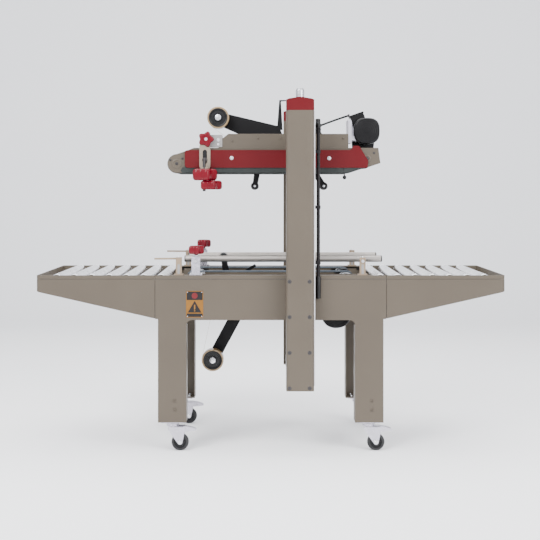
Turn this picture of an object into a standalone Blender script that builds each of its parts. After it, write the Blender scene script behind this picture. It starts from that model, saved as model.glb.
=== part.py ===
"""Carton sealer with driven belts above and below the carton.

Metres, +Z up. Cartons travel along +X, from the infeed table to the outfeed table.
The operator's side is -Y. The origin is on the floor, under the middle of the machine.
"""

from math import cos, pi, radians, sin

import bmesh
import bpy
from mathutils import Vector

# Overall frame
LENGTH = 1.780
FRAME_WIDTH = 0.600
BED_LENGTH = 0.880
TABLE_TOP = 0.671
PANEL_BOTTOM = 0.501
FLANGE_END = 0.385
SHEET = 0.003
GAP = 0.0003
SIDES = (-1, 1)

# Legs and casters
LEG_INNER = 0.320
LEG_OUTER = 0.428
LEG_DEPTH = 0.075
LEG_BOTTOM = 0.1123
LEG_CENTRE = (LEG_INNER + LEG_OUTER) / 2
CASTER_Y = 0.262
WHEEL_RADIUS = 0.033
WHEEL_WIDTH = 0.024
CASTER_TRAIL = 0.028
FORK_TOP = 0.1087

# Roller tables
ROLLER_RADIUS = 0.022
ROLLER_WALL = 0.002
ROLLER_WEB = 0.004
ROLLER_HEIGHT = TABLE_TOP + 0.004 - ROLLER_RADIUS
ROLLER_PITCH = 0.066
ROLLERS_PER_SIDE = 7
FIRST_ROLLER = 0.418
TABLE_END_DEPTH = 0.062
TABLE_ROOT_BOTTOM = 0.507

# Columns and lead screws
COLUMN_X = 0.110
COLUMN_WIDTH = 0.104
COLUMN_INNER_Y = FRAME_WIDTH / 2 + GAP
COLUMN_OUTER_Y = 0.380
COLUMN_BOTTOM = 0.244
COLUMN_TOP = 1.293
COLUMN_WALL = 0.004
COLUMN_SLOT = 0.040
SCREW_Y = 0.340
SCREW_RADIUS = 0.008
CAP_TOP = 1.343

# Belts: the carton runs between these two levels
LOWER_BELT_TOP = 0.677
UPPER_BELT_BOTTOM = 1.060
BELT_THICKNESS = 0.004
BELT_Y = (0.095, 0.150)
BELT_CLEARANCE = 0.0004
LOWER_LOOP = ((-0.300, LOWER_BELT_TOP - 0.038, 0.038), (0.295, LOWER_BELT_TOP - 0.038, 0.038))
UPPER_LOOP = (
    (-0.367, UPPER_BELT_BOTTOM + 0.038, 0.038),
    (0.300, UPPER_BELT_BOTTOM + 0.025, 0.025),
    (0.378, UPPER_BELT_BOTTOM + 0.058, 0.032),
)
RAIL_Y = (0.156, 0.160)

# Upper head
BEAM_BOTTOM = 1.158
BEAM_TOP = 1.215
BEAM_Y = (0.098, 0.158)
BEAM_X = (-0.205, 0.305)
COVER_Y = (0.167, 0.170)
UPPER_MOTOR = (0.377, 1.227)
UPPER_MOTOR_RADIUS = 0.056
LOWER_MOTOR = (0.258, 0.510)
LOWER_MOTOR_RADIUS = 0.060
GEARBOX_Y = (0.008, 0.075)

# Tape heads
TAPE_PLATE_Y = (0.036, 0.040)
TAPE_ROLL_RADIUS = 0.044
TAPE_WIDTH = 0.050
UPPER_ROLL = (-0.211, 1.287)
LOWER_ROLL = (-0.233, 0.309)
TAPE_ROLLER_RADIUS = 0.016
UPPER_FRONT = ((-0.045, 1.116), (-0.063, 1.011))
UPPER_REAR = ((0.150, 1.111), (0.215, 1.011))
LOWER_FRONT = ((-0.172, 0.621), (-0.190, 0.726))
LOWER_REAR = ((0.041, 0.626), (0.106, 0.726))

# Carton guides on the bed
GUIDE_Y = 0.120
GUIDE_Z = 0.724
GUIDE_RADIUS = 0.013
GUIDE_X = (-0.340, 0.440)
GUIDE_ROD_RADIUS = 0.006
GUIDE_ROD_X = (-0.285, 0.350)
POST_X = 0.350
POST_Y = (0.266, 0.288)

PAINT = (0.300, 0.262, 0.222)
RED = (0.330, 0.030, 0.036)
BLACK = (0.012, 0.012, 0.014)
STEEL = (0.550, 0.550, 0.570)
ZINC = (0.480, 0.470, 0.520)
BELT = (0.045, 0.065, 0.085)
TAPE = (0.430, 0.300, 0.150)
CREAM = (0.620, 0.560, 0.470)


def clear_scene():
    for item in list(bpy.data.objects):
        bpy.data.objects.remove(item, do_unlink=True)


def new_material(name, colour, roughness, metallic):
    material = bpy.data.materials.new(name)
    material.use_nodes = True
    shader = material.node_tree.nodes["Principled BSDF"]
    shader.inputs["Base Color"].default_value = (*colour, 1.0)
    shader.inputs["Roughness"].default_value = roughness
    shader.inputs["Metallic"].default_value = metallic
    return material


def make_part(name, bm, look, origin=(0.0, 0.0, 0.0)):
    """Turn a bmesh in world coordinates into an object whose origin is `origin`."""
    bmesh.ops.recalc_face_normals(bm, faces=bm.faces)
    bmesh.ops.translate(bm, verts=bm.verts, vec=-Vector(origin))
    mesh = bpy.data.meshes.new(name)
    bm.to_mesh(mesh)
    bm.free()
    mesh.shade_smooth()
    mesh.set_sharp_from_angle(angle=radians(35))
    if look is not None:
        mesh.materials.append(new_material(name + "_paint", *look))
    part = bpy.data.objects.new(name, mesh)
    part.location = origin
    bpy.context.scene.collection.objects.link(part)
    return part


def combine(part, operation, bm):
    """Join a shape to a part, or cut it out, with an exact Boolean."""
    tool = make_part(f"{part.name}_tool{len(part.modifiers)}", bm, None)
    tool.hide_render = True
    tool.display_type = "WIRE"
    modifier = part.modifiers.new(operation.title(), "BOOLEAN")
    modifier.operation = operation
    modifier.solver = "EXACT"
    modifier.object = tool


def join(part, bm):
    combine(part, "UNION", bm)


def cut(part, bm):
    combine(part, "DIFFERENCE", bm)


def place(axis, along, across):
    """A point from its place along one axis and its two places across it."""
    first, second = across
    if axis == "X":
        return Vector((along, first, second))
    if axis == "Y":
        return Vector((first, along, second))
    return Vector((first, second, along))


def add_prism(bm, outline, axis, start, end):
    """A closed prism: an outline pushed along an axis."""
    rings = [[bm.verts.new(place(axis, along, point)) for point in outline] for along in (start, end)]
    bm.faces.new(rings[0])
    bm.faces.new(rings[1])
    count = len(outline)
    for index in range(count):
        after = (index + 1) % count
        bm.faces.new((rings[0][index], rings[0][after], rings[1][after], rings[1][index]))


def add_box(bm, low, high):
    outline = [(low[0], low[1]), (high[0], low[1]), (high[0], high[1]), (low[0], high[1])]
    add_prism(bm, outline, "Z", low[2], high[2])


def add_turned(bm, axis, centre, profile, sides, hollow=False):
    """A turned piece. The profile is (place along the axis, radius); a hollow one is a closed ring."""
    rings = []
    for along, radius in profile:
        if radius == 0:
            rings.append([bm.verts.new(place(axis, along, centre))])
            continue
        angles = [2 * pi * (step + 0.5) / sides for step in range(sides)]
        points = [(centre[0] + radius * cos(a), centre[1] + radius * sin(a)) for a in angles]
        rings.append([bm.verts.new(place(axis, along, point)) for point in points])
    pairs = list(zip(rings, rings[1:]))
    if hollow:
        pairs.append((rings[-1], rings[0]))
    for one, two in pairs:
        for side in range(sides):
            after = (side + 1) % sides
            corners = [one[side % len(one)], one[after % len(one)], two[after % len(two)], two[side % len(two)]]
            bm.faces.new(list(dict.fromkeys(corners)))


def add_rod(bm, axis, centre, start, end, radius, sides=16):
    add_turned(bm, axis, centre, [(start, 0), (start, radius), (end, radius), (end, 0)], sides)


def arc(centre, radius, start, end, steps):
    """Points on an arc, from one angle in degrees to another."""
    angles = [radians(start + (end - start) * step / steps) for step in range(steps + 1)]
    return [(centre[0] + radius * cos(a), centre[1] + radius * sin(a)) for a in angles]


def wrap(circles, grow=0.0, steps=24):
    """The outline of a tight band around circles, each grown by the same amount."""
    points = []
    for x, z, radius in circles:
        points += arc((x, z), radius + grow, 0, 360 - 360 / steps, steps - 1)
    points.sort()
    halves = []
    for ordered in (points, points[::-1]):
        half = []
        for point in ordered:
            while len(half) > 1 and turn(half[-2], half[-1], point) <= 1e-9:
                half.pop()
            half.append(point)
        halves.append(half[:-1])
    return halves[0] + halves[1]


def turn(a, b, c):
    """Positive where the path from a to b to c turns left."""
    return (b[0] - a[0]) * (c[1] - a[1]) - (b[1] - a[1]) * (c[0] - a[0])


def rounded_rectangle(low, high, radius, steps=4):
    corners = ((high[0], high[1], 0), (low[0], high[1], 90), (low[0], low[1], 180), (high[0], low[1], 270))
    outline = []
    for x, y, angle in corners:
        centre_x = x - radius if x == high[0] else x + radius
        centre_y = y - radius if y == high[1] else y + radius
        outline += arc((centre_x, centre_y), radius, angle, angle + 90, steps)
    return outline


def star(centre, radius, lobes=5, steps=30, depth=0.14):
    """The outline of a star knob."""
    outline = []
    for step in range(steps):
        angle = 2 * pi * step / steps
        reach = radius * (1 - depth + depth * cos(lobes * angle))
        outline.append((centre[0] + reach * cos(angle), centre[1] + reach * sin(angle)))
    return outline


def span(side, near, far):
    """Two Y values, in order, for a stretch that lies on one side of the machine."""
    return sorted((side * near, side * far))


def side_frame(name, side):
    """One side of the bed: a panel with two legs, folded from one sheet."""
    outer = FRAME_WIDTH / 2
    half = BED_LENGTH / 2
    corner = 0.020
    left = [(-LEG_INNER, LEG_BOTTOM), (-LEG_OUTER, LEG_BOTTOM), (-LEG_OUTER, 0.505), (-half, 0.505)]
    right = [(half, 0.505), (LEG_OUTER, 0.505), (LEG_OUTER, LEG_BOTTOM), (LEG_INNER, LEG_BOTTOM)]
    arch = arc((LEG_INNER - corner, PANEL_BOTTOM - corner), corner, 0, 90, 4)
    arch += arc((corner - LEG_INNER, PANEL_BOTTOM - corner), corner, 90, 180, 4)
    outline = left + [(-half, TABLE_TOP), (half, TABLE_TOP)] + right + arch
    bm = bmesh.new()
    add_prism(bm, outline, "Y", *span(side, outer - SHEET, outer))
    frame = make_part(name, bm, (PAINT, 0.45, 0.0))

    folds = bmesh.new()
    low, high = span(side, outer - 0.040, outer - 0.001)
    add_box(folds, (-FLANGE_END, low, TABLE_TOP - GAP - SHEET), (FLANGE_END, high, TABLE_TOP - GAP))
    low, high = span(side, outer - LEG_DEPTH, outer - 0.001)
    for end in SIDES:
        inner_face = span(end, LEG_INNER + GAP, LEG_INNER + GAP + SHEET)
        outer_face = span(end, LEG_OUTER - GAP - SHEET, LEG_OUTER - GAP)
        for fold, top in ((inner_face, PANEL_BOTTOM - corner), (outer_face, PANEL_BOTTOM)):
            add_box(folds, (fold[0], low, LEG_BOTTOM + GAP), (fold[1], high, top))
    join(frame, folds)

    feet = bmesh.new()
    low, high = span(side, outer - LEG_DEPTH + GAP, outer - 0.0012)
    for end in SIDES:
        foot = span(end, LEG_INNER + 2 * GAP, LEG_OUTER - 2 * GAP)
        add_box(feet, (foot[0], low, LEG_BOTTOM + 2 * GAP), (foot[1], high, LEG_BOTTOM + 0.006))
    join(frame, feet)

    plates = bmesh.new()
    low, high = span(side, CASTER_Y - 0.034, CASTER_Y + 0.034)
    for end in SIDES:
        centre = end * LEG_CENTRE
        add_box(plates, (centre - 0.043, low, 0.1090), (centre + 0.043, high, LEG_BOTTOM + 0.003))
    join(frame, plates)
    guide_mounts(frame, side)


def roller_table(name, end):
    """A tapered table frame bolted to one end of the bed, open below."""
    root = BED_LENGTH / 2 + GAP
    tip = LENGTH / 2
    half = FRAME_WIDTH / 2
    corner = 0.016
    outer = [(root, -half)] + arc((tip - corner, corner - half), corner, -90, 0, 4)
    outer += arc((tip - corner, half - corner), corner, 0, 90, 4) + [(root, half)]
    inner = [(root, half - SHEET)] + arc((tip - corner, half - corner), corner - SHEET, 90, 0, 4)
    inner += arc((tip - corner, corner - half), corner - SHEET, 0, -90, 4) + [(root, SHEET - half)]
    outline = [(end * x, y) for x, y in outer + inner]
    bm = bmesh.new()
    add_prism(bm, outline, "Z", TABLE_ROOT_BOTTOM, TABLE_TOP)
    table = make_part(name, bm, (PAINT, 0.45, 0.0))

    wedge = bmesh.new()
    tip_bottom = TABLE_TOP - TABLE_END_DEPTH
    slope = (tip_bottom - TABLE_ROOT_BOTTOM) / (tip - root)
    reach = 0.050
    profile = [
        (end * (root - 0.010), TABLE_ROOT_BOTTOM - slope * 0.010),
        (end * (tip + reach), tip_bottom + slope * reach),
        (end * (tip + reach), TABLE_ROOT_BOTTOM - reach),
        (end * (root - 0.010), TABLE_ROOT_BOTTOM - reach),
    ]
    add_prism(wedge, profile, "Y", -half - reach, half + reach)
    cut(table, wedge)

    tongues = bmesh.new()
    for side in SIDES:
        low, high = span(side, half - 2 * SHEET - GAP, half - SHEET - GAP)
        step = span(end, root - 0.085, root + 0.045)
        add_box(tongues, (step[0], low, 0.560), (step[1], high, 0.620))
    join(table, tongues)

    brace = bmesh.new()
    for place_x, bottom in ((0.540, 0.5650), (0.800, 0.5960)):
        width = span(end, place_x, place_x + 0.030)
        add_box(brace, (width[0], SHEET / 2 - half, bottom), (width[1], half - SHEET / 2, bottom + 0.020))
    for side in SIDES:
        low, high = span(side, half - 1.6 * SHEET, half - 0.5 * SHEET)
        step = span(end, root + 0.004, root + 0.040)
        add_box(brace, (step[0], low, 0.565), (step[1], high, 0.615))
    join(table, brace)


def table_roller(name, x):
    """A gravity roller across the table: a tube joined to its axle by a web in the middle."""
    end = FRAME_WIDTH / 2 - SHEET - GAP
    if abs(x) < BED_LENGTH / 2:
        end -= 0.0004
    barrel = end - 0.006
    bore = ROLLER_RADIUS - ROLLER_WALL
    half = [(-end, 0), (-end, 0.006), (-ROLLER_WEB, 0.006)]
    half += [(-ROLLER_WEB, bore), (-barrel, bore), (-barrel, ROLLER_RADIUS)]
    profile = half + [(-along, radius) for along, radius in reversed(half)]
    bm = bmesh.new()
    add_turned(bm, "Y", (x, ROLLER_HEIGHT), profile, 16)
    make_part(name, bm, (STEEL, 0.25, 1.0), (x, 0, ROLLER_HEIGHT))


def bed_subframe():
    """Two cross tubes, the belt side rails that they carry, and the belts' slider beds."""
    width = FRAME_WIDTH / 2 - SHEET - GAP
    bm = bmesh.new()
    for side in SIDES:
        low, high = span(side, *RAIL_Y)
        add_box(bm, (-0.360, low, 0.530), (0.360, high, LOWER_BELT_TOP - 0.010))
    frame = make_part("bed_subframe", bm, (PAINT, 0.5, 0.0))
    tubes = bmesh.new()
    for end in SIDES:
        low, high = span(end, 0.330, 0.370)
        add_box(tubes, (low, -width, 0.515), (high, width, 0.555))
    join(frame, tubes)
    beds = bmesh.new()
    inside = LOWER_BELT_TOP - BELT_THICKNESS - 0.0005
    for side in SIDES:
        low, high = span(side, BELT_Y[0] + 0.005, RAIL_Y[0] + 0.002)
        add_box(beds, (-0.255, low, inside - 0.060), (0.250, high, inside))
    join(frame, beds)


def column_outline(side):
    """The section of a column: a square channel, open on its inner face for the head's arm."""
    left = COLUMN_X - COLUMN_WIDTH / 2
    right = COLUMN_X + COLUMN_WIDTH / 2
    near = COLUMN_INNER_Y
    far = COLUMN_OUTER_Y
    radius = 0.012
    outer = [(left, near)]
    outer += arc((left + radius, far - radius), radius, 180, 90, 4)
    outer += arc((right - radius, far - radius), radius, 90, 0, 4) + [(right, near)]
    lip = near + COLUMN_WALL
    slot = COLUMN_SLOT / 2
    inner = [(COLUMN_X + slot, near), (COLUMN_X + slot, lip), (right - COLUMN_WALL, lip)]
    inner += arc((right - radius, far - radius), radius - COLUMN_WALL, 0, 90, 4)
    inner += arc((left + radius, far - radius), radius - COLUMN_WALL, 90, 180, 4)
    inner += [(left + COLUMN_WALL, lip), (COLUMN_X - slot, lip), (COLUMN_X - slot, near)]
    return [(x, side * y) for x, y in outer + inner]


def mast_frame():
    """The two columns and the channel that joins their feet, which houses the screws' chain."""
    half = COLUMN_WIDTH / 2 - 0.001
    columns = bmesh.new()
    floors = bmesh.new()
    for side in SIDES:
        add_prism(columns, column_outline(side), "Z", COLUMN_BOTTOM, COLUMN_TOP)
        low, high = span(side, COLUMN_INNER_Y + 0.001, COLUMN_OUTER_Y - 0.001)
        bottom = COLUMN_BOTTOM + GAP
        add_box(floors, (COLUMN_X - half, low, bottom), (COLUMN_X + half, high, COLUMN_BOTTOM + 0.006))
    mast = make_part("mast_frame", columns, (PAINT, 0.42, 0.0))
    join(mast, floors)
    outer = 0.044
    inner = outer - SHEET
    top = COLUMN_BOTTOM + 0.046
    channel = [(-outer, 0.002), (-outer, 0.046), (outer, 0.046), (outer, 0.002)]
    channel += [(inner, 0.002), (inner, 0.046 - SHEET), (-inner, 0.046 - SHEET), (-inner, 0.002)]
    tie = bmesh.new()
    reach = COLUMN_INNER_Y + 0.003
    add_prism(tie, [(COLUMN_X + x, top - 0.046 + z) for x, z in channel], "Y", -reach, reach)
    join(mast, tie)


def column_cap(name, side):
    """The low peaked cap of a column, bored for its lead screw."""
    half = COLUMN_WIDTH / 2
    base = COLUMN_TOP + GAP
    rise = ((-half, 0.039), (-half + 0.010, 0.043), (0.0, CAP_TOP - base), (half - 0.010, 0.043), (half, 0.039))
    outline = [(COLUMN_X + half, base), (COLUMN_X - half, base)]
    outline += [(COLUMN_X + across, base + up) for across, up in rise]
    bm = bmesh.new()
    add_prism(bm, outline, "Y", *span(side, COLUMN_INNER_Y, COLUMN_OUTER_Y))
    cap = make_part(name, bm, (RED, 0.35, 0.0))
    bore = bmesh.new()
    add_rod(bore, "Z", (COLUMN_X, side * SCREW_Y), base - 0.010, CAP_TOP + 0.010, 0.010)
    cut(cap, bore)


def lead_screw(name, side, crank_end):
    """The lifting screw; the front one ends in a turned hub above its cap."""
    foot = COLUMN_BOTTOM + 0.006 + GAP
    profile = [(foot, 0), (foot, 0.020), (foot + 0.007, 0.020), (foot + 0.007, SCREW_RADIUS)]
    if crank_end:
        hub = CAP_TOP + 0.0005
        profile += [(hub, SCREW_RADIUS), (hub, 0.0160), (hub + 0.029, 0.0160), (hub + 0.033, 0.013)]
        profile += [(hub + 0.033, 0)]
    else:
        profile += [(COLUMN_TOP - 0.002, SCREW_RADIUS), (COLUMN_TOP - 0.002, 0)]
    bm = bmesh.new()
    add_turned(bm, "Z", (COLUMN_X, side * SCREW_Y), profile, 16)
    make_part(name, bm, (STEEL, 0.3, 1.0), (COLUMN_X, side * SCREW_Y, foot))


def belt(name, loop, side):
    """A flat belt round its pulleys."""
    low, high = span(side, *BELT_Y)
    bm = bmesh.new()
    add_prism(bm, wrap(loop), "Y", low, high)
    band = make_part(name, bm, (BELT, 0.75, 0.0))
    inside = bmesh.new()
    add_prism(inside, wrap(loop, -BELT_THICKNESS), "Y", low - 0.010, high + 0.010)
    cut(band, inside)


def pulley_shaft(name, wheel, shaft_radius):
    """A shaft that carries one pulley for each belt."""
    x, z, radius = wheel
    pulley = radius - BELT_THICKNESS - BELT_CLEARANCE
    end = RAIL_Y[0] - GAP
    near = BELT_Y[0] + 0.002
    far = BELT_Y[1] - 0.002
    half = [(-end, 0), (-end, shaft_radius), (-far, shaft_radius), (-far, pulley)]
    half += [(-near, pulley), (-near, shaft_radius)]
    profile = half + [(-along, size) for along, size in reversed(half)]
    bm = bmesh.new()
    add_turned(bm, "Y", (x, z), profile, 16)
    make_part(name, bm, (STEEL, 0.35, 1.0), (x, 0, z))


def gearmotor(name, motor, motor_radius, shaft, front, extras):
    """A motor with its axis along Y, on a gearbox that the drive shaft runs through."""
    bm = bmesh.new()
    add_prism(bm, wrap(((*motor, 0.048), (shaft[0], shaft[1], 0.036)), steps=20), "Y", *GEARBOX_Y)
    unit = make_part(name, bm, (BLACK, 0.4, 0.0))
    body = bmesh.new()
    barrel = motor_radius - 0.004
    profile = [(front, 0), (front, motor_radius - 0.006), (front + 0.006, motor_radius)]
    profile += [(front + 0.045, motor_radius), (front + 0.045, barrel)]
    profile += [(GEARBOX_Y[0] + 0.004, barrel), (GEARBOX_Y[0] + 0.004, 0)]
    add_turned(body, "Y", motor, profile, 24)
    join(unit, body)
    for extra in extras:
        join(unit, extra)
    bore = bmesh.new()
    add_rod(bore, "Y", shaft[:2], GEARBOX_Y[0] - 0.020, GEARBOX_Y[1] + 0.020, 0.0115)
    cut(unit, bore)


def tilted_box(bm, centre, size, angle, low, high):
    """A box along Y whose section is turned by an angle in degrees."""
    turn_cos = cos(radians(angle))
    turn_sin = sin(radians(angle))
    outline = []
    for across, up in ((-0.5, -0.5), (0.5, -0.5), (0.5, 0.5), (-0.5, 0.5)):
        dx = across * size[0]
        dz = up * size[1]
        outline.append((centre[0] + dx * turn_cos - dz * turn_sin, centre[1] + dx * turn_sin + dz * turn_cos))
    add_prism(bm, outline, "Y", low, high)


def upper_gearmotor():
    box = bmesh.new()
    tilted_box(box, (0.347, 1.273), (0.056, 0.050), 19, -0.125, -0.045)
    bracket = bmesh.new()
    add_box(bracket, (BEAM_X[1] + GAP, -0.140, 1.180), (BEAM_X[1] + 0.014, -0.020, 1.272))
    foot = bmesh.new()
    add_box(foot, (BEAM_X[1] + 0.010, -0.120, 1.190), (UPPER_MOTOR[0] - 0.030, -0.030, 1.205))
    gearmotor("upper_gearmotor", UPPER_MOTOR, UPPER_MOTOR_RADIUS, UPPER_LOOP[2], -0.165, (box, bracket, foot))


def lower_gearmotor():
    box = bmesh.new()
    add_box(box, (0.215, -0.120, 0.540), (0.300, -0.050, 0.585))
    gearmotor("lower_gearmotor", LOWER_MOTOR, LOWER_MOTOR_RADIUS, LOWER_LOOP[1], -0.150, (box,))


def head_frame():
    """The lifting head: two beams, belt side plates, slider beds, arms and screw carriages."""
    idler = UPPER_LOOP[0]
    beam = [(BEAM_X[0], BEAM_BOTTOM), (BEAM_X[1], BEAM_BOTTOM), (BEAM_X[1], BEAM_TOP)]
    beam += [(-0.165, BEAM_TOP), (-0.195, 1.192)]
    plate = arc(idler[:2], 0.036, 262, 112, 8)
    plate += [(-0.325, 1.150), (-0.300, 1.160), (0.422, 1.160), (0.430, 1.100), (0.382, 1.084), (0.300, 1.078)]
    base = bmesh.new()
    plates = bmesh.new()
    beds = bmesh.new()
    arms = bmesh.new()
    carriages = bmesh.new()
    bores = bmesh.new()
    for side in SIDES:
        add_prism(base, beam, "Y", *span(side, *BEAM_Y))
        add_prism(plates, plate, "Y", *span(side, *RAIL_Y))
        low, high = span(side, BELT_Y[0] + 0.005, RAIL_Y[0] + 0.002)
        inside = UPPER_BELT_BOTTOM + BELT_THICKNESS + 0.0005
        add_box(beds, (-0.315, low, inside), (0.285, high, inside + 0.056))
        low, high = span(side, BEAM_Y[1] - 0.008, SCREW_Y - 0.028)
        add_box(arms, (COLUMN_X - 0.018, low, 1.166), (COLUMN_X + 0.018, high, 1.210))
        low, high = span(side, SCREW_Y - 0.032, SCREW_Y + 0.032)
        add_box(carriages, (COLUMN_X - 0.044, low, 1.130), (COLUMN_X + 0.044, high, 1.240))
        add_rod(bores, "Z", (COLUMN_X, side * SCREW_Y), 1.100, 1.270, SCREW_RADIUS + 0.001)
    for place_x in (-0.150, 0.284):
        reach = BEAM_Y[0] + 0.004
        add_box(arms, (place_x, -reach, 1.168), (place_x + 0.006, reach, 1.208))
    frame = make_part("head_frame", base, (PAINT, 0.45, 0.0))
    for shape in (plates, beds, arms, carriages, knob_mounts()):
        join(frame, shape)
    cut(frame, bores)


def knob_mounts():
    """The light block at the beam's infeed end and the cable boot's socket on its top."""
    bm = bmesh.new()
    add_box(bm, (-0.262, -0.1595, 1.164), (-0.190, -0.110, 1.210))
    add_rod(bm, "Z", (0.187, -0.128), BEAM_TOP - 0.005, BEAM_TOP + 0.060, 0.009)
    return bm


def belt_cover(name, side):
    """The red side cover over one upper belt, with lips folded back to the belt plate."""
    outline = arc((-0.322, 1.138), 0.013, 180, 90, 3)
    outline += [(0.310, 1.151), (0.322, 1.168), (0.346, 1.168), (0.381, 1.110), (0.378, 1.082)]
    outline += arc((-0.322, 1.095), 0.013, 270, 180, 3)
    bm = bmesh.new()
    add_prism(bm, outline, "Y", *span(side, *COVER_Y))
    cover = make_part(name, bm, (RED, 0.35, 0.0))
    lips = bmesh.new()
    low, high = span(side, RAIL_Y[1] + GAP, COVER_Y[1] - 0.001)
    for bottom in (1.0835, 1.1475):
        add_box(lips, (-0.318, low, bottom), (0.300, high, bottom + SHEET))
    join(cover, lips)


def roller_arm(name, pivot, roller):
    """A forked arm on its pivot tube, with a roller at its free end."""
    bm = bmesh.new()
    for side in SIDES:
        circles = ((*pivot, 0.013), (*roller, 0.010))
        add_prism(bm, wrap(circles, steps=16), "Y", *span(side, 0.0275, 0.0315))
    arm = make_part(name, bm, (BLACK, 0.5, 0.0), (pivot[0], 0, pivot[1]))
    rods = bmesh.new()
    add_rod(rods, "Y", pivot, -0.0290, 0.0290, 0.0090)
    add_rod(rods, "Y", roller, -0.0290, 0.0290, TAPE_ROLLER_RADIUS)
    join(arm, rods)


def tape_frame(name, plate, arm, pins, roll, extras):
    """Two side plates, the pins between them, and an arm with the tape roll's axle."""
    bm = bmesh.new()
    for side in SIDES:
        add_prism(bm, plate, "Y", *span(side, *TAPE_PLATE_Y))
    frame = make_part(name, bm, (BLACK, 0.45, 0.0))
    rods = bmesh.new()
    for pin in pins:
        add_rod(rods, "Y", pin, -0.0382, 0.0382, 0.0050, 12)
    join(frame, rods)
    arms = bmesh.new()
    low, high = TAPE_PLATE_Y
    add_prism(arms, arm, "Y", low - GAP, high - GAP)
    join(frame, arms)
    axle = bmesh.new()
    add_rod(axle, "Y", roll, -0.031, high - 0.002, 0.0080)
    join(frame, axle)
    for extra in extras:
        join(frame, extra)


def upper_tape_frame():
    plate = [(-0.100, 1.128), (-0.060, 1.085), (0.262, 1.085), (0.262, 1.200), (-0.100, 1.200)]
    arm = wrap(((*UPPER_ROLL, 0.026), (0.034, 1.2535, 0.002), (0.060, 1.190, 0.002), (-0.050, 1.190, 0.002)))
    handle = bmesh.new()
    shape = [(0.027, 1.240), (0.050, 1.240), (0.043, 1.356), (0.066, 1.358), (0.066, 1.362), (0.036, 1.362)]
    add_prism(handle, shape, "Y", TAPE_PLATE_Y[0] - 0.002, TAPE_PLATE_Y[1] - 0.001)
    ears = bmesh.new()
    for place_x in (-0.080, 0.220):
        reach = BEAM_Y[0] - GAP
        add_box(ears, (place_x, -reach, 1.172), (place_x + 0.020, reach, 1.184))
    pins = ((-0.090, 1.150), (0.080, 1.192), (0.250, 1.150))
    tape_frame("upper_tape_frame", plate, arm, pins, UPPER_ROLL, (handle, ears))


def lower_tape_frame():
    plate = [(-0.225, 0.545), (0.155, 0.545), (0.155, 0.655), (0.110, 0.668), (-0.185, 0.668), (-0.225, 0.625)]
    arm = wrap(((*LOWER_ROLL, 0.024), (-0.100, 0.556, 0.024)))
    lever = bmesh.new()
    tilted_box(lever, (-0.083, 0.679), (0.055, 0.011), 32, -TAPE_PLATE_Y[1] + GAP, -TAPE_PLATE_Y[0] - GAP)
    ears = bmesh.new()
    for place_x in (-0.220, 0.120):
        reach = BELT_Y[0] + 0.005 - GAP
        add_box(ears, (place_x, -reach, 0.607), (place_x + 0.018, reach, 0.619))
    pins = ((-0.215, 0.580), (-0.030, 0.553), (0.145, 0.580))
    tape_frame("lower_tape_frame", plate, arm, pins, LOWER_ROLL, (lever, ears))


def tape_roll(name, centre):
    """A nearly used roll of tape on its core and hub."""
    half = TAPE_WIDTH / 2
    profile = [(-half - 0.002, 0.0090), (-half - 0.002, 0.0380), (-half, 0.0380), (-half, TAPE_ROLL_RADIUS)]
    profile += [(half, TAPE_ROLL_RADIUS), (half, 0.0380), (half + 0.002, 0.0380), (half + 0.002, 0.0090)]
    bm = bmesh.new()
    add_turned(bm, "Y", centre, profile, 24, hollow=True)
    make_part(name, bm, (TAPE, 0.4, 0.0), (centre[0], 0, centre[1]))


def guide_rail(name, side):
    """A carton guide: a long tube on two rods that slide through the side clamps."""
    bm = bmesh.new()
    y = side * GUIDE_Y
    add_rod(bm, "X", (y, GUIDE_Z), *GUIDE_X, GUIDE_RADIUS)
    rail = make_part(name, bm, (STEEL, 0.4, 0.6), (0, y, GUIDE_Z))
    rods = bmesh.new()
    low, high = span(side, GUIDE_Y + 0.004, 0.297)
    for x in GUIDE_ROD_X:
        add_rod(rods, "Y", (x, GUIDE_Z), low, high, GUIDE_ROD_RADIUS, 12)
    join(rail, rods)


def guide_mounts(frame, side):
    """On a side frame: two posts, the inlet arm, and the rod clamp with its hand knob."""
    low, high = span(side, *POST_Y)
    base = TABLE_TOP - 0.001
    posts = bmesh.new()
    for x in (-POST_X, POST_X):
        add_box(posts, (x - 0.011, low, base), (x + 0.011, high, 0.738))
    clamp_x = GUIDE_ROD_X[0]
    add_box(posts, (clamp_x - 0.016, low, base), (clamp_x + 0.016, high, 0.740))
    join(frame, posts)
    start = side * (POST_Y[0] + 0.006)
    tip = side * (POST_Y[0] + 0.020)
    arm = [(-0.345, start - 0.004), (-0.443, tip - 0.003), (-0.443, tip + 0.003), (-0.345, start + 0.004)]
    extras = bmesh.new()
    add_prism(extras, arm, "Z", 0.730, 0.7365)
    add_rod(extras, "Z", (clamp_x, side * 0.277), 0.735, 0.760, 0.0095, 12)
    join(frame, extras)
    knob = bmesh.new()
    add_prism(knob, star((clamp_x, side * 0.277), 0.025), "Z", 0.751, 0.782)
    join(frame, knob)
    holes = bmesh.new()
    for x in GUIDE_ROD_X:
        add_rod(holes, "Y", (x, GUIDE_Z), low - 0.010, high + 0.010, GUIDE_ROD_RADIUS + 0.0008)
    cut(frame, holes)


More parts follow.
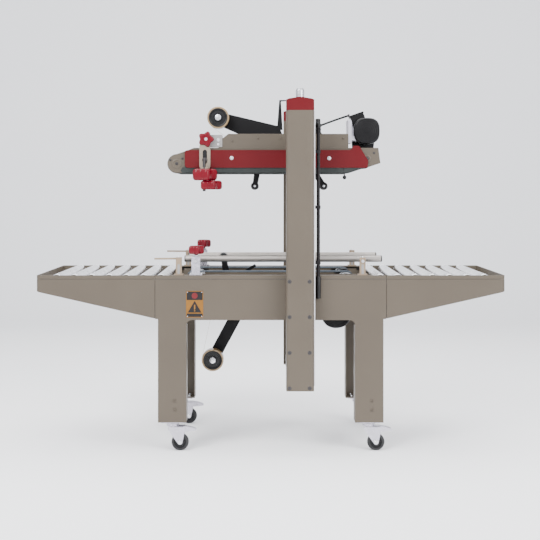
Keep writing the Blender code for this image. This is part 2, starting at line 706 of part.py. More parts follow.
def squeeze_adjuster():
    """The slotted bracket at the head's infeed end, with its three hand knobs."""
    bm = bmesh.new()
    plate = arc((-0.2565, 1.163), 0.0215, 0, 180, 8) + [(-0.278, 1.0700), (-0.235, 1.0700)]
    front = -COVER_Y[1] - GAP
    add_prism(bm, plate, "Y", front - 0.004, front)
    bracket = make_part("squeeze_adjuster", bm, (CREAM, 0.45, 0.0))
    slot = bmesh.new()
    outline = arc((-0.2565, 1.137), 0.006, 0, 180, 6) + arc((-0.2565, 1.102), 0.006, 180, 360, 6)
    add_prism(slot, outline, "Y", front - 0.020, front + 0.020)
    cut(bracket, slot)
    knobs = bmesh.new()
    add_prism(knobs, star((-0.252, 1.193), 0.031), "Y", -0.184, -0.161)
    add_prism(knobs, star((-0.257, -0.211), 0.047), "Z", 1.0315, 1.0765)
    join(bracket, knobs)
    lower_knob = bmesh.new()
    add_prism(lower_knob, star((-0.232, -0.211), 0.042), "Z", 0.9965, 1.0330)
    join(bracket, lower_knob)


def control_box():
    """The switch box on the far side frame, with the mains inlet gland under it."""
    back = FRAME_WIDTH / 2 + GAP
    bm = bmesh.new()
    add_prism(bm, rounded_rectangle((-0.300, 0.520), (-0.150, 0.655), 0.008), "Y", back, 0.368)
    box = make_part("control_box", bm, (PAINT, 0.5, 0.0))
    gland = bmesh.new()
    add_rod(gland, "Z", (-0.190, 0.334), 0.498, 0.524, 0.010)
    join(box, gland)
    knob = bmesh.new()
    add_rod(knob, "Y", (-0.225, 0.605), 0.3685, 0.372, 0.020)
    switch = make_part("power_switch", knob, (RED, 0.35, 0.0), (-0.225, 0.3685, 0.605))
    grip = bmesh.new()
    add_box(grip, (-0.230, 0.3715, 0.588), (-0.220, 0.3798, 0.622))
    join(switch, grip)


def caster(corner, end, side):
    """A swivel caster: fork with bearing, axle and brake pedal, and its wheel."""
    x = end * LEG_CENTRE
    y = side * CASTER_Y
    axle = (x + CASTER_TRAIL, WHEEL_RADIUS)
    half = WHEEL_WIDTH / 2 + 0.002
    bm = bmesh.new()
    add_box(bm, (x - 0.020, y - half - 0.003, 0.0880), (x + 0.050, y + half + 0.003, 0.0940))
    fork = make_part("caster_fork_" + corner, bm, (ZINC, 0.3, 1.0), (x, y, FORK_TOP))
    legs = bmesh.new()
    for way in SIDES:
        sheet = sorted((y + way * half, y + way * (half + 0.0025)))
        outline = [(x - 0.018, 0.090), (axle[0] - 0.009, 0.029), (axle[0] + 0.009, 0.029), (x + 0.048, 0.090)]
        add_prism(legs, outline, "Y", *sheet)
    join(fork, legs)
    bearing = bmesh.new()
    add_rod(bearing, "Z", (x, y), 0.0925, FORK_TOP, 0.022)
    pedal = [(x + 0.046, 0.0930), (x + 0.088, 0.0820), (x + 0.090, 0.0770), (x + 0.046, 0.0890)]
    add_prism(bearing, pedal, "Y", y - 0.013, y + 0.013)
    add_rod(bearing, "Y", axle, y - half - 0.005, y + half + 0.005, 0.0045, 12)
    join(fork, bearing)
    sides = 24
    outer = WHEEL_RADIUS / cos(pi / sides)
    edge = WHEEL_WIDTH / 2
    profile = [(y - edge, 0.0053), (y - edge, outer - 0.004), (y - edge + 0.004, outer)]
    profile += [(y + edge - 0.004, outer), (y + edge, outer - 0.004), (y + edge, 0.0053)]
    wheel = bmesh.new()
    add_turned(wheel, "Y", axle, profile, sides, hollow=True)
    make_part("caster_wheel_" + corner, wheel, (BLACK, 0.6, 0.0), (axle[0], y, WHEEL_RADIUS))


def cable(name, route, diameter):
    """A cable along a smooth curve through a few hand-placed points."""
    curve = bpy.data.curves.new(name, "CURVE")
    curve.dimensions = "3D"
    curve.bevel_depth = diameter / 2
    curve.bevel_resolution = 2
    curve.use_fill_caps = True
    points = smooth_route([Vector(point) for point in route], 2.5 * diameter)
    spline = curve.splines.new("POLY")
    spline.points.add(len(points) - 1)
    for target, point in zip(spline.points, points):
        target.co = (*point, 1.0)
    curve.materials.append(new_material(name + "_sheath", BLACK, 0.5, 0.0))
    bpy.context.scene.collection.objects.link(bpy.data.objects.new(name, curve))


def smooth_route(points, spacing):
    """Catmull-Rom points through the route, about one for each spacing."""
    padded = [2 * points[0] - points[1]] + points + [2 * points[-1] - points[-2]]
    smooth = []
    for index in range(1, len(padded) - 2):
        before, start, end, after = padded[index - 1:index + 3]
        steps = max(1, round((end - start).length / spacing))
        for step in range(steps):
            t = step / steps
            smooth.append(0.5 * (2 * start + (end - before) * t
                                 + (2 * before - 5 * start + 4 * end - after) * t ** 2
                                 + (3 * start - before - 3 * end + after) * t ** 3))
    smooth.append(points[-1])
    return smooth


def cables():
    column_side = COLUMN_X + COLUMN_WIDTH / 2
    cable("conduit", [
        (column_side + 0.018, -0.3115, 1.248),
        (column_side + 0.018, -0.3115, 1.000),
        (column_side + 0.018, -0.3115, 0.800),
        (column_side + 0.018, -0.3115, 0.588),
    ], 0.014)
    cable("motor_lead", [
        (0.3115, -0.128, 1.2885),
        (0.2900, -0.128, 1.2825),
        (0.2450, -0.128, 1.2670),
        (0.2100, -0.128, 1.2540),
        (0.1985, -0.128, 1.2500),
    ], 0.008)


def main():
    clear_scene()
    side_frame("side_frame_front", -1)
    side_frame("side_frame_rear", 1)
    bed_subframe()
    roller_table("infeed_table", -1)
    roller_table("outfeed_table", 1)
    for index in range(ROLLERS_PER_SIDE):
        x = FIRST_ROLLER + index * ROLLER_PITCH
        table_roller(f"infeed_roller_{index + 1}", -x)
        table_roller(f"outfeed_roller_{index + 1}", x)
    mast_frame()
    column_cap("column_cap_front", -1)
    column_cap("column_cap_rear", 1)
    lead_screw("lead_screw_front", -1, True)
    lead_screw("lead_screw_rear", 1, False)
    for side, side_name in ((-1, "front"), (1, "rear")):
        belt(f"lower_belt_{side_name}", LOWER_LOOP, side)
        belt(f"upper_belt_{side_name}", UPPER_LOOP, side)
    pulley_shaft("lower_idler", LOWER_LOOP[0], 0.008)
    pulley_shaft("lower_drive_shaft", LOWER_LOOP[1], 0.010)
    pulley_shaft("upper_idler", UPPER_LOOP[0], 0.008)
    pulley_shaft("upper_drive_shaft", UPPER_LOOP[2], 0.010)
    lower_gearmotor()
    upper_gearmotor()
    head_frame()
    belt_cover("belt_cover_front", -1)
    belt_cover("belt_cover_rear", 1)
    upper_tape_frame()
    lower_tape_frame()
    roller_arm("upper_front_arm", *UPPER_FRONT)
    roller_arm("upper_rear_arm", *UPPER_REAR)
    roller_arm("lower_front_arm", *LOWER_FRONT)
    roller_arm("lower_rear_arm", *LOWER_REAR)
    tape_roll("upper_tape_roll", UPPER_ROLL)
    tape_roll("lower_tape_roll", LOWER_ROLL)
    guide_rail("guide_rail_front", -1)
    guide_rail("guide_rail_rear", 1)
    squeeze_adjuster()
    control_box()
    for end, end_name in ((-1, "infeed"), (1, "outfeed")):
        for side, side_name in ((-1, "front"), (1, "rear")):
            caster(f"{end_name}_{side_name}", end, side)
    cables()


main()
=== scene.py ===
"""The looks of the carton sealer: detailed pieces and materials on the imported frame.

Metres, +Z up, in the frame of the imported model. Cartons travel along +X; the operator stands at -Y.
"""

from math import atan2, cos, pi, radians, sin, tau

import bmesh
import bpy
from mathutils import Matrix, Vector


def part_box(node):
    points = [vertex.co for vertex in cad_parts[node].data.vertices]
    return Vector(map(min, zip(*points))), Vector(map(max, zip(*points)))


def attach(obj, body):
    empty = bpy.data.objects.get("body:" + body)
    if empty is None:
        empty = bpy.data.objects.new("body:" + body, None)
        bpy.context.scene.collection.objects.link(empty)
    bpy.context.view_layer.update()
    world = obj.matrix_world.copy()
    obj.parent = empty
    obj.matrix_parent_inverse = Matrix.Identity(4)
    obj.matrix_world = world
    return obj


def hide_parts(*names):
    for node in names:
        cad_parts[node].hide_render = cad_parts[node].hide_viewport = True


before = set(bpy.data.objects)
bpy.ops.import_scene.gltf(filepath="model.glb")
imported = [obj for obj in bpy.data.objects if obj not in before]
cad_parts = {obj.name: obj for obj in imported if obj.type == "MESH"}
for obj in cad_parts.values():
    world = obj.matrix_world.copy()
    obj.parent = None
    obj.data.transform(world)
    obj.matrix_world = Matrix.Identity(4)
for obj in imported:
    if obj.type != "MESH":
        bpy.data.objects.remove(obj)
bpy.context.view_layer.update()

BOTH = (-1, 1)
SIDES = ((-1, "front"), (1, "rear"))
ENDS = ((-1, "infeed"), (1, "outfeed"))

# Frame sizes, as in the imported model
LENGTH = 1.780
HALF_WIDTH = 0.300
BED_HALF = 0.440
TABLE_TOP = 0.671
PANEL_BOTTOM = 0.501
SHEET = 0.003
GAP = 0.0003
LIP = 0.0135
GROOVE = 0.0018
SEAM = 0.0016
LEG = (0.320, 0.428)
LEG_DEPTH = 0.075
LEG_BOTTOM = 0.1123
CASTER_Y = 0.262
TABLE_ROOT_BOTTOM = 0.507
TABLE_END_DEPTH = 0.062
TABLE_BRACES = ((0.540, 0.5650), (0.800, 0.5960))
ROLLER_RADIUS = 0.022
ROLLER_COUNT = 7
COLUMN_X = 0.110
COLUMN_HALF = 0.052
COLUMN_Y = 0.380
SCREW_Y = 0.340
CAP_TOP = 1.343
COLUMN_BOLT_X = (0.070, 0.145)
COLUMN_BOLT_Z = (0.653, 0.521, 0.388, 0.2555)
SCREW_TOP = 1.290
SCREW_PITCH = 0.010

BELT_Y = (0.095, 0.150)
BELT_THICKNESS = 0.004
LOWER_LOOP = ((-0.300, 0.639, 0.038), (0.295, 0.639, 0.038))
UPPER_LOOP = ((-0.367, 1.098, 0.038), (0.300, 1.085, 0.025), (0.378, 1.118, 0.032))
COVER_Y = (0.167, 0.170)
COVER_FACE = 0.1703
HEAD_FACE = 0.160
COVER_BOLTS = ((-0.152, 1.120), (0.229, 1.119))
ADJUSTER_X = -0.2565
ADJUSTER_KNOBS = (
    ("top", "Y", (-0.252, 1.193), -0.162, -0.022, 0.0315),
    ("middle", "Z", (-0.257, -0.211), 1.0320, 0.0450, 0.0505),
    ("bottom", "Z", (-0.232, -0.211), 0.9965, 0.0350, 0.0440),
)
PULLEYS = {
    "lower_idler": (0.038, 0.008),
    "lower_drive_shaft": (0.038, 0.010),
    "upper_idler": (0.038, 0.008),
    "upper_drive_shaft": (0.032, 0.010),
}
UPPER_MOTOR = (0.377, 1.227)
LOWER_MOTOR = (0.258, 0.510)
UPPER_ROLL = (-0.211, 1.287)
LOWER_ROLL = (-0.233, 0.309)
TAPE_HALF = 0.025
TAPE_WEB_HALF = 0.024
UPPER_PINS = ((-0.090, 1.150), (0.080, 1.192), (0.250, 1.150))
LOWER_PINS = ((-0.215, 0.580), (-0.030, 0.553), (0.145, 0.580))
UPPER_SPRINGS = (((0.080, 1.180), (0.150, 1.135)), ((-0.045, 1.140), (0.070, 1.185)))
LOWER_SPRINGS = (((-0.165, 0.600), (-0.040, 0.558)), ((0.041, 0.603), (-0.020, 0.558)))
GUIDE_Y = 0.120
GUIDE_Z = 0.724
GUIDE_ENDS = (-0.336, 0.436)
POST_X = 0.350
POST_TOP = 0.738
CLAMP_X = -0.285
KNOB_Y = 0.277
POST_Y = (0.266, 0.288)
ARMS = {
    "upper_front_arm": ((-0.045, 1.116), (-0.063, 1.011)),
    "upper_rear_arm": ((0.150, 1.111), (0.215, 1.011)),
    "lower_front_arm": ((-0.172, 0.621), (-0.190, 0.726)),
    "lower_rear_arm": ((0.041, 0.626), (0.106, 0.726)),
}
CONDUIT = (0.180, -0.3115)
CONDUIT_PITCH = 0.0044
CLIP_HEIGHTS = (0.720, 0.930, 1.140)
SWITCH = (-0.225, 0.605)
SWITCH_BOX_FACE = 0.368
LABEL_X = -0.2885
LEAD_ROUTE = (
    (0.3115, -0.128, 1.2885), (0.2900, -0.128, 1.2825), (0.2450, -0.128, 1.2670),
    (0.2100, -0.128, 1.2540), (0.1985, -0.128, 1.2500),
)

CAMERA_PLACE = (-0.017, -4.75, 0.991)
CAMERA_LENS = 78.2
CAMERA_SHIFT = (0.007, -0.1463)
LIGHTS = (
    ("key_light", (-2.6, -4.2, 4.0), (0, 0, 0.8), (2.6, 2.6), 345),
    ("fill_light", (3.2, -3.6, 2.6), (0, 0, 0.8), (3.0, 3.0), 205),
    ("top_light", (0, 0.6, 4.2), (0, 0, 0.7), (4.0, 3.0), 215),
)
WORLD_TINT = (0.92, 0.94, 1.0, 1.0)
WORLD_STRENGTH = 1.65


# Materials

SOCKETS = {
    "coat_weight": "Coat Weight",
    "coat_roughness": "Coat Roughness",
    "sheen_weight": "Sheen Weight",
    "specular_ior_level": "Specular IOR Level",
}


class Look:
    """A Principled material, with helpers for the layers of nodes above it."""

    def __init__(self, name, metallic=0.0, **values):
        self.material = bpy.data.materials.new(name)
        self.material.use_nodes = True
        self.tree = self.material.node_tree
        self.shader = self.tree.nodes["Principled BSDF"]
        self.place = self.tree.nodes.new("ShaderNodeTexCoord").outputs["Object"]
        self.shader.inputs["Metallic"].default_value = metallic
        for socket, value in values.items():
            self.shader.inputs[SOCKETS[socket]].default_value = value

    def feed(self, socket, value):
        if isinstance(value, bpy.types.NodeSocket):
            self.tree.links.new(value, socket)
        elif isinstance(value, tuple) and len(value) == 3 and len(socket.default_value) == 4:
            socket.default_value = (*value, 1.0)
        else:
            socket.default_value = value

    def node(self, kind, **inputs):
        """A new node of a kind; its inputs are named in small letters."""
        node = self.tree.nodes.new("ShaderNode" + kind)
        for name, value in inputs.items():
            self.feed(node.inputs[name.replace("_", " ").title()], value)
        return node

    def noise(self, scale, detail=3.0, stretch=None):
        place = self.node("Mapping", scale=stretch,
                          vector=self.place).outputs[0] if stretch else self.place
        return self.node("TexNoise", scale=scale, detail=detail, vector=place).outputs["Fac"]

    def cells(self, scale):
        return self.node("TexVoronoi", scale=scale, vector=self.place).outputs["Color"]

    def rings(self, scale, direction):
        node = self.node("TexWave", scale=scale, distortion=0.6, vector=self.place)
        node.wave_type = "RINGS"
        node.rings_direction = direction
        return node.outputs["Fac"]

    def spread(self, value, low, high, start=0.3, end=0.7):
        """A value's range from start to end, stretched to run from low to high."""
        limits = {"from_min": start, "from_max": end, "to_min": low, "to_max": high}
        return self.node("MapRange", value=value, **limits).outputs["Result"]

    def mix(self, factor, one, two):
        node = self.tree.nodes.new("ShaderNodeMix")
        node.data_type = "RGBA"
        self.feed(node.inputs["Factor"], factor)
        self.feed(node.inputs[6], one)
        self.feed(node.inputs[7], two)
        return node.outputs[2]

    def edges(self, radius):
        """Near 1 along worn edges: where a rounded normal leaves the true one."""
        soft = self.node("Bevel", radius=radius)
        soft.samples = 4
        dot = self.node("VectorMath")
        dot.operation = "DOT_PRODUCT"
        self.feed(dot.inputs[0], soft.outputs["Normal"])
        self.feed(dot.inputs[1], self.node("NewGeometry").outputs["Normal"])
        return self.spread(dot.outputs["Value"], 1.0, 0.0, 0.80, 0.97)

    def upward(self):
        """Near 1 on faces that look up, where dust settles."""
        parts = self.node("SeparateXYZ", vector=self.node("NewGeometry").outputs["Normal"])
        return self.spread(parts.outputs["Z"], 0.0, 1.0, 0.6, 1.0)

    def times(self, one, two):
        node = self.tree.nodes.new("ShaderNodeMath")
        node.operation = "MULTIPLY"
        self.feed(node.inputs[0], one)
        self.feed(node.inputs[1], two)
        return node.outputs[0]

    def done(self, colour, roughness, height, strength, depth=0.0004):
        """Feed the shader, with a bump of the given height, and give back the material."""
        bump = self.node("Bump", strength=strength, distance=depth, height=height)
        inputs = self.shader.inputs
        self.feed(inputs["Base Color"], colour)
        self.feed(inputs["Roughness"], roughness)
        self.feed(inputs["Normal"], bump.outputs["Normal"])
        return self.material


def tone(colour, factor):
    return tuple(min(1.0, channel * factor) for channel in colour)


def paint(name, colour, gloss=0.42, orange_peel=420, edge=1.22, dust=0.06, coat=0.0, scuff=0.08,
          specular=0.30):
    """Sprayed paint: orange peel, faint uneven tone, lighter worn edges and a little dust."""
    look = Look(name, coat_weight=coat, coat_roughness=0.12, specular_ior_level=specular)
    tint = look.mix(look.spread(look.noise(3.5), 0.0, 1.0), tone(colour, 0.94), tone(colour, 1.05))
    scuffs = look.spread(look.noise(60, 6.0), 0.0, 1.0, 0.62, 0.75)
    tint = look.mix(look.times(scuffs, scuff), tint, tone(colour, 0.72))
    tint = look.mix(look.times(look.edges(0.0016), 0.55), tint, tone(colour, edge))
    tint = look.mix(look.times(look.upward(), look.times(look.noise(30, 5.0), dust)), tint,
                    (0.62, 0.60, 0.56))
    shine = look.spread(look.noise(22, 5.0), gloss - 0.06, gloss + 0.10)
    return look.done(tint, shine, look.noise(orange_peel, 2.0), 0.16)


def metal(name, colour, gloss, stretch=(900.0, 900.0, 900.0), tarnish=0.16):
    """Bright metal with fine drawn or turned lines, and darker hazy patches."""
    look = Look(name, metallic=1.0)
    lines = look.noise(1.0, 4.0, stretch)
    haze = look.noise(14, 5.0)
    tint = look.mix(look.spread(lines, 0.0, 1.0), tone(colour, 0.90), tone(colour, 1.06))
    tint = look.mix(look.times(look.spread(haze, 0.0, 1.0), tarnish), tint, tone(colour, 0.45))
    shine = look.spread(haze, gloss - 0.05, gloss + 0.14)
    return look.done(tint, shine, lines, 0.12, 0.0002)


def zinc(name, colour, gloss=0.30):
    """Zinc plate: small bright crystals with a lilac cast."""
    look = Look(name, metallic=1.0)
    crystals = look.cells(260.0)
    tint = look.mix(look.spread(look.noise(30, 4.0), 0.0, 1.0), tone(colour, 0.88), colour)
    tint = look.mix(look.times(crystals, 0.14), tint, (0.66, 0.62, 0.74))
    tint = look.mix(look.times(look.edges(0.001), 0.4), tint, (0.80, 0.80, 0.82))
    return look.done(tint, look.spread(crystals, gloss - 0.06, gloss + 0.14), look.noise(500, 3.0),
                     0.10)


def rubber(name, colour, gloss=0.62, grain=700, dust=0.22):
    """Rubber: a matt grain, with pale dust rubbed into it."""
    look = Look(name, sheen_weight=0.08)
    tint = look.mix(look.spread(look.noise(12, 6.0), 0.0, 1.0), tone(colour, 0.80), tone(colour, 1.18))
    tint = look.mix(look.times(look.spread(look.noise(45, 6.0), 0.0, 1.0, 0.5, 0.75), dust), tint,
                    (0.20, 0.19, 0.18))
    return look.done(tint, look.spread(look.noise(30, 4.0), gloss - 0.08, gloss + 0.12),
                     look.noise(grain), 0.35)


def plastic(name, colour, gloss=0.30, grain=900, strength=0.10, specular=0.35):
    """Moulded plastic: a fine texture, slightly uneven gloss and paler rubbed edges."""
    look = Look(name, specular_ior_level=specular)
    tint = look.mix(look.spread(look.noise(25, 4.0), 0.0, 1.0), tone(colour, 0.90), tone(colour, 1.08))
    tint = look.mix(look.times(look.edges(0.0012), 0.35), tint, tone(colour, 1.45))
    return look.done(tint, look.spread(look.noise(60, 4.0), gloss - 0.06, gloss + 0.10),
                     look.noise(grain), strength)


def wound_tape(name, colour, wound):
    """Packing tape. On a roll's flanks its turns show as fine rings about the roll's axis."""
    look = Look(name, coat_weight=0.35, coat_roughness=0.15)
    turns = look.rings(420.0, "Y") if wound else look.noise(1.0, 3.0, (60.0, 1400.0, 60.0))
    tint = look.mix(look.spread(turns, 0.0, 1.0, 0.0, 1.0), tone(colour, 0.78), tone(colour, 1.12))
    tint = look.mix(look.times(look.noise(40, 4.0), 0.3), tint, tone(colour, 0.7))
    return look.done(tint, look.spread(look.noise(20), 0.24, 0.40), turns, 0.25, 0.0003)


BEIGE = (0.084, 0.068, 0.050)
FRAME_PAINT = paint("frame_powder_coat", BEIGE)
POST_PAINT = paint("guide_post_paint", (0.25, 0.185, 0.125), 0.36)
MOUNT_PAINT = paint("pale_grey_paint", (0.25, 0.24, 0.235), 0.40)
CREAM_PAINT = paint("bracket_cream_paint", (0.25, 0.205, 0.155), 0.38)
RED_PAINT = paint("red_enamel", (0.088, 0.0016, 0.0040), 0.42, 260, 1.3, 0.0, 0.0, 0.03, 0.20)
BLACK_PAINT = paint("black_enamel", (0.0022, 0.0019, 0.0024), 0.36, 340, 3.0, 0.0, 0.0, 0.10, 0.22)
TAPE_HEAD_PAINT = paint("black_powder_coat", (0.0022, 0.0018, 0.0024), 0.50, 620, 3.2, 0.0, 0.0, 0.10,
                        0.20)
CHROME = metal("roller_chrome", (0.86, 0.86, 0.88), 0.16, (6.0, 1500.0, 6.0), 0.10)
TURNED = metal("turned_steel", (0.62, 0.62, 0.64), 0.24, (40.0, 40.0, 1600.0))
SHAFT_STEEL = metal("pulley_alloy", (0.60, 0.60, 0.61), 0.30, (20.0, 1200.0, 20.0))
SATIN_TUBE = metal("drawn_guide_tube", (0.40, 0.37, 0.34), 0.36, (8.0, 900.0, 900.0))
# Blackened bolt metal; the same dark material paints the shade in the bed's seam gaps and lip grooves.
DARK_BOLT_AND_SHADE = metal("blackened_bolt_and_painted_shade", (0.070, 0.066, 0.066), 0.36, (400.0, 400.0, 400.0))
BOLT_BRIGHT = metal("bright_bolt", (0.78, 0.78, 0.80), 0.22, (400.0, 400.0, 400.0))
ZINC = zinc("zinc_plate", (0.60, 0.58, 0.64))
LILAC_PLATE = zinc("motor_bracket_plate", (0.66, 0.64, 0.70), 0.38)
BELT_BLUE = rubber("belt_blue_rubber", (0.060, 0.078, 0.098), 0.58, 900)
# Dark belt rubber for the upper belts; the same material paints the shade band under the belt covers.
DARK_BELT_AND_SHADE = rubber("dark_belt_rubber_and_shade", (0.0040, 0.0085, 0.0070), 0.60, 900, 0.04)
TYRE = rubber("caster_tyre_rubber", (0.0030, 0.0028, 0.0034), 0.50, 700, 0.04)
ROLLER_RUBBER = rubber("tape_roller_rubber", (0.0048, 0.0045, 0.0048), 0.42, 800, 0.05)
RED_KNOB = plastic("red_knob_plastic", (0.125, 0.0022, 0.0085), 0.22, 900, 0.10, 0.22)
BLACK_PLASTIC = plastic("black_plastic", (0.0030, 0.0027, 0.0034), 0.34)
# White plastic for the switch's mark; the same material paints the highlight strips on the column
# edges.
WHITE_MARK_AND_HIGHLIGHT = plastic("white_mark_and_highlight", (0.66, 0.64, 0.66), 0.34)
CONDUIT_PLASTIC = plastic("conduit_plastic", (0.0045, 0.0028, 0.0038), 0.36, 900, 0.10, 0.25)
TAPE_SIDE = wound_tape("tape_wound_side", (0.34, 0.225, 0.105), True)
TAPE_FACE = wound_tape("tape_face", (0.36, 0.25, 0.125), False)
CARDBOARD = rubber("tape_core_board", (0.24, 0.175, 0.11), 0.80, 500, 0.05)
LABEL_AMBER = plastic("label_amber", (0.190, 0.078, 0.0050), 0.40, 400, 0.04)
LABEL_DARK = plastic("label_dark", (0.0050, 0.0035, 0.0035), 0.40, 400, 0.04)
LABEL_RED = plastic("label_red", (0.120, 0.0060, 0.0080), 0.40, 400, 0.04)


# Mesh helpers

def at(axis, along, across):
    """A point from its place along one axis and its two places across it."""
    first, second = across
    if axis == "X":
        return Vector((along, first, second))
    if axis == "Y":
        return Vector((first, along, second))
    return Vector((first, second, along))


def polar(centre, reach, angle):
    return (centre[0] + reach * cos(angle), centre[1] + reach * sin(angle))


def arc(centre, radius, start, end, steps):
    angles = [radians(start + (end - start) * step / steps) for step in range(steps + 1)]
    return [polar(centre, radius, a) for a in angles]


def span(side, near, far):
    return sorted((side * near, side * far))


def left_turn(a, b, c):
    return (b[0] - a[0]) * (c[1] - a[1]) - (b[1] - a[1]) * (c[0] - a[0])


def wrap(circles, grow=0.0, steps=72):
    """The outline of a tight band around circles, each grown by the same amount."""
    points = []
    for x, z, radius in circles:
        points += arc((x, z), radius + grow, 0, 360 - 360 / steps, steps - 1)
    points.sort()
    halves = []
    for ordered in (points, points[::-1]):
        half = []
        for point in ordered:
            while len(half) > 1 and left_turn(half[-2], half[-1], point) <= 1e-10:
                half.pop()
            half.append(point)
        halves.append(half[:-1])
    return halves[0] + halves[1]


def rounded(low, high, radius, steps=5):
    outline = []
    for x, y, angle in ((high[0], high[1], 0), (low[0], high[1], 90), (low[0], low[1], 180),
                        (high[0], low[1], 270)):
        centre = (x - radius if x == high[0] else x + radius,
                  y - radius if y == high[1] else y + radius)
        outline += arc(centre, radius, angle, angle + 90, steps)
    return outline


def stadium(x, low, high, radius, steps=8):
    return arc((x, high - radius), radius, 0, 180, steps) + arc((x, low + radius), radius, 180, 360,
                                                                steps)


def turned_about(outline, centre, angle):
    """An outline about the origin, turned by an angle and moved to a centre."""
    c, s = cos(angle), sin(angle)
    return [(centre[0] + x * c - y * s, centre[1] + x * s + y * c) for x, y in outline]


class Form:
    """A mesh being made; `mat` is the place of a shape's material in the piece's list."""

    def __init__(self):
        self.bm = bmesh.new()

    def skin(self, rings, mat=0, loop=False):
        made = [[self.bm.verts.new(point) for point in ring] for ring in rings]
        pairs = list(zip(made, made[1:]))
        if loop:
            pairs.append((made[-1], made[0]))
        for one, two in pairs:
            for index in range(len(one)):
                after = (index + 1) % len(one)
                self.bm.faces.new((one[index], one[after], two[after], two[index])).material_index = mat
        if not loop:
            for ring in (made[0], made[-1]):
                self.bm.faces.new(ring).material_index = mat

    def prism(self, outline, axis, start, end, mat=0):
        self.skin([[at(axis, along, point) for point in outline] for along in (start, end)], mat)

    def box(self, low, high, mat=0):
        outline = [(low[0], low[1]), (high[0], low[1]), (high[0], high[1]), (low[0], high[1])]
        self.prism(outline, "Z", low[2], high[2], mat)

    def turned(self, axis, centre, profile, sides=48, mat=0, loop=False):
        """A turned shape from (along, radius) pairs; a third value of 6 makes that ring a hexagon."""
        rings = []
        for along, radius, *corners in profile:
            ring = []
            for step in range(sides):
                angle = tau * step / sides
                reach = radius / cos((angle + pi / 6) % (pi / 3) - pi / 6) if corners else radius
                ring.append(at(axis, along, polar(centre, reach, angle)))
            rings.append(ring)
        self.skin(rings, mat, loop)

    def rod(self, axis, centre, start, end, radius, sides=24, mat=0, edge=0.0006):
        inset = edge if end > start else -edge
        profile = [(start, radius - edge), (start + inset, radius), (end - inset, radius),
                   (end, radius - edge)]
        self.turned(axis, centre, profile, sides, mat)

    def plate(self, outer, hole, axis, start, end, mat=0):
        """A flat plate with one hole; both outlines have the same number of points."""
        rings = [(outer, start), (outer, end), (hole, end), (hole, start)]
        self.skin([[at(axis, along, point) for point in line] for line, along in rings], mat, loop=True)

    def sweep(self, points, radius, sides=12, mat=0):
        """A tube along a path; the radius is a number, or one number for each point."""
        points = [Vector(point) for point in points]
        radii = radius if isinstance(radius, list) else [radius] * len(points)
        rings = []
        across = None
        for index, point in enumerate(points):
            ahead = (points[min(index + 1, len(points) - 1)] - points[max(index - 1, 0)]).normalized()
            across = (across - ahead * across.dot(ahead) if across else ahead.orthogonal()).normalized()
            other = ahead.cross(across)
            angles = [tau * step / sides for step in range(sides)]
            rings.append([point + (across * cos(a) + other * sin(a)) * radii[index] for a in angles])
        self.skin(rings, mat)

    def bolt(self, axis, centre, base, way, radius, mat=0, washer=True):
        """A socket button head on a washer, standing out along the axis."""
        rise = radius * 0.75
        foot = radius * 0.18 if washer else 0.0
        profile = [(0, radius * 1.35), (foot, radius * 1.35),
                   (foot, radius)] if washer else [(0, radius)]
        profile += [(foot + rise * 0.5, radius), (foot + rise * 0.85, radius * 0.86),
                    (foot + rise, radius * 0.62)]
        profile += [(foot + rise * 0.98, radius * 0.46, 6), (foot + rise * 0.35, radius * 0.44, 6)]
        self.turned(axis, centre, [(base + way * ring[0], *ring[1:]) for ring in profile], 24, mat)

    def knob(self, axis, centre, start, height, radius, lobes=5, mat=0, insert=None):
        """A lobed hand knob with rounded edges, a dished face and, if asked, a metal insert."""
        shape = ((0.00, 0.80), (0.05, 0.91), (0.16, 0.98), (0.30, 1.00), (0.70, 1.00), (0.85, 0.97),
                 (0.95, 0.89),
                 (1.00, 0.77), (1.00, 0.52), (0.93, 0.46), (0.92, 0.25))
        rings = []
        steps = lobes * 12
        for up, scale in shape:
            depth = 0.13 * min(1.0, max(0.0, (scale - 0.40) / 0.35))
            ring = []
            for step in range(steps):
                angle = tau * step / steps
                reach = radius * scale * (1 - depth + depth * cos(lobes * angle))
                ring.append(at(axis, start + height * up, polar(centre, reach, angle)))
            rings.append(ring)
        self.skin(rings, mat)
        if insert is not None:
            self.rod(axis, centre, start + height * 0.90, start + height * 0.97, radius * 0.20, 24,
                     insert)

    def coil(self, start, end, radius, wire, turns, mat=0):
        """A helical spring between two points."""
        start, end = Vector(start), Vector(end)
        ahead = (end - start).normalized()
        across = ahead.orthogonal().normalized()
        other = ahead.cross(across)
        steps = turns * 14
        path = []
        for step in range(steps + 1):
            angle = tau * turns * step / steps
            turn = across * cos(angle) + other * sin(angle)
            path.append(start.lerp(end, step / steps) + turn * radius)
        self.sweep(path, wire, 6, mat)


def make_object(name, form, looks, origin=(0, 0, 0), sharp=34):
    """Turn a form into an object that is smooth up to an angle in degrees."""
    bm = form.bm
    bmesh.ops.recalc_face_normals(bm, faces=bm.faces)
    bmesh.ops.translate(bm, verts=bm.verts, vec=-Vector(origin))
    mesh = bpy.data.meshes.new(name)
    bm.to_mesh(mesh)
    bm.free()
    mesh.shade_smooth()
    mesh.set_sharp_from_angle(angle=radians(sharp))
    for look in looks:
        mesh.materials.append(look)
    piece = bpy.data.objects.new(name, mesh)
    piece.location = origin
    bpy.context.scene.collection.objects.link(piece)
    return piece


def finish_piece(name, form, looks, body, nodes=(), bevel=0.0, origin=(0, 0, 0), sharp=34):
    """Turn a form into a piece that rides on a body and stands for CAD nodes."""
    piece = make_object(name, form, looks, origin, sharp)
    if bevel:
        round_edges(piece, bevel)
    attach(piece, body)
    if nodes:
        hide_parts(*nodes)


def replace_node(node, form, looks, body, bevel=0.0, origin=(0, 0, 0), sharp=34):
    """A piece that stands for one CAD node and is named after it."""
    finish_piece(f"{node}_piece", form, looks, body, [node], bevel, origin, sharp)


def middle_of(node):
    """The X and Z of a node's middle, and the corners of its box."""
    low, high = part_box(node)
    return ((low.x + high.x) / 2, (low.z + high.z) / 2), low, high


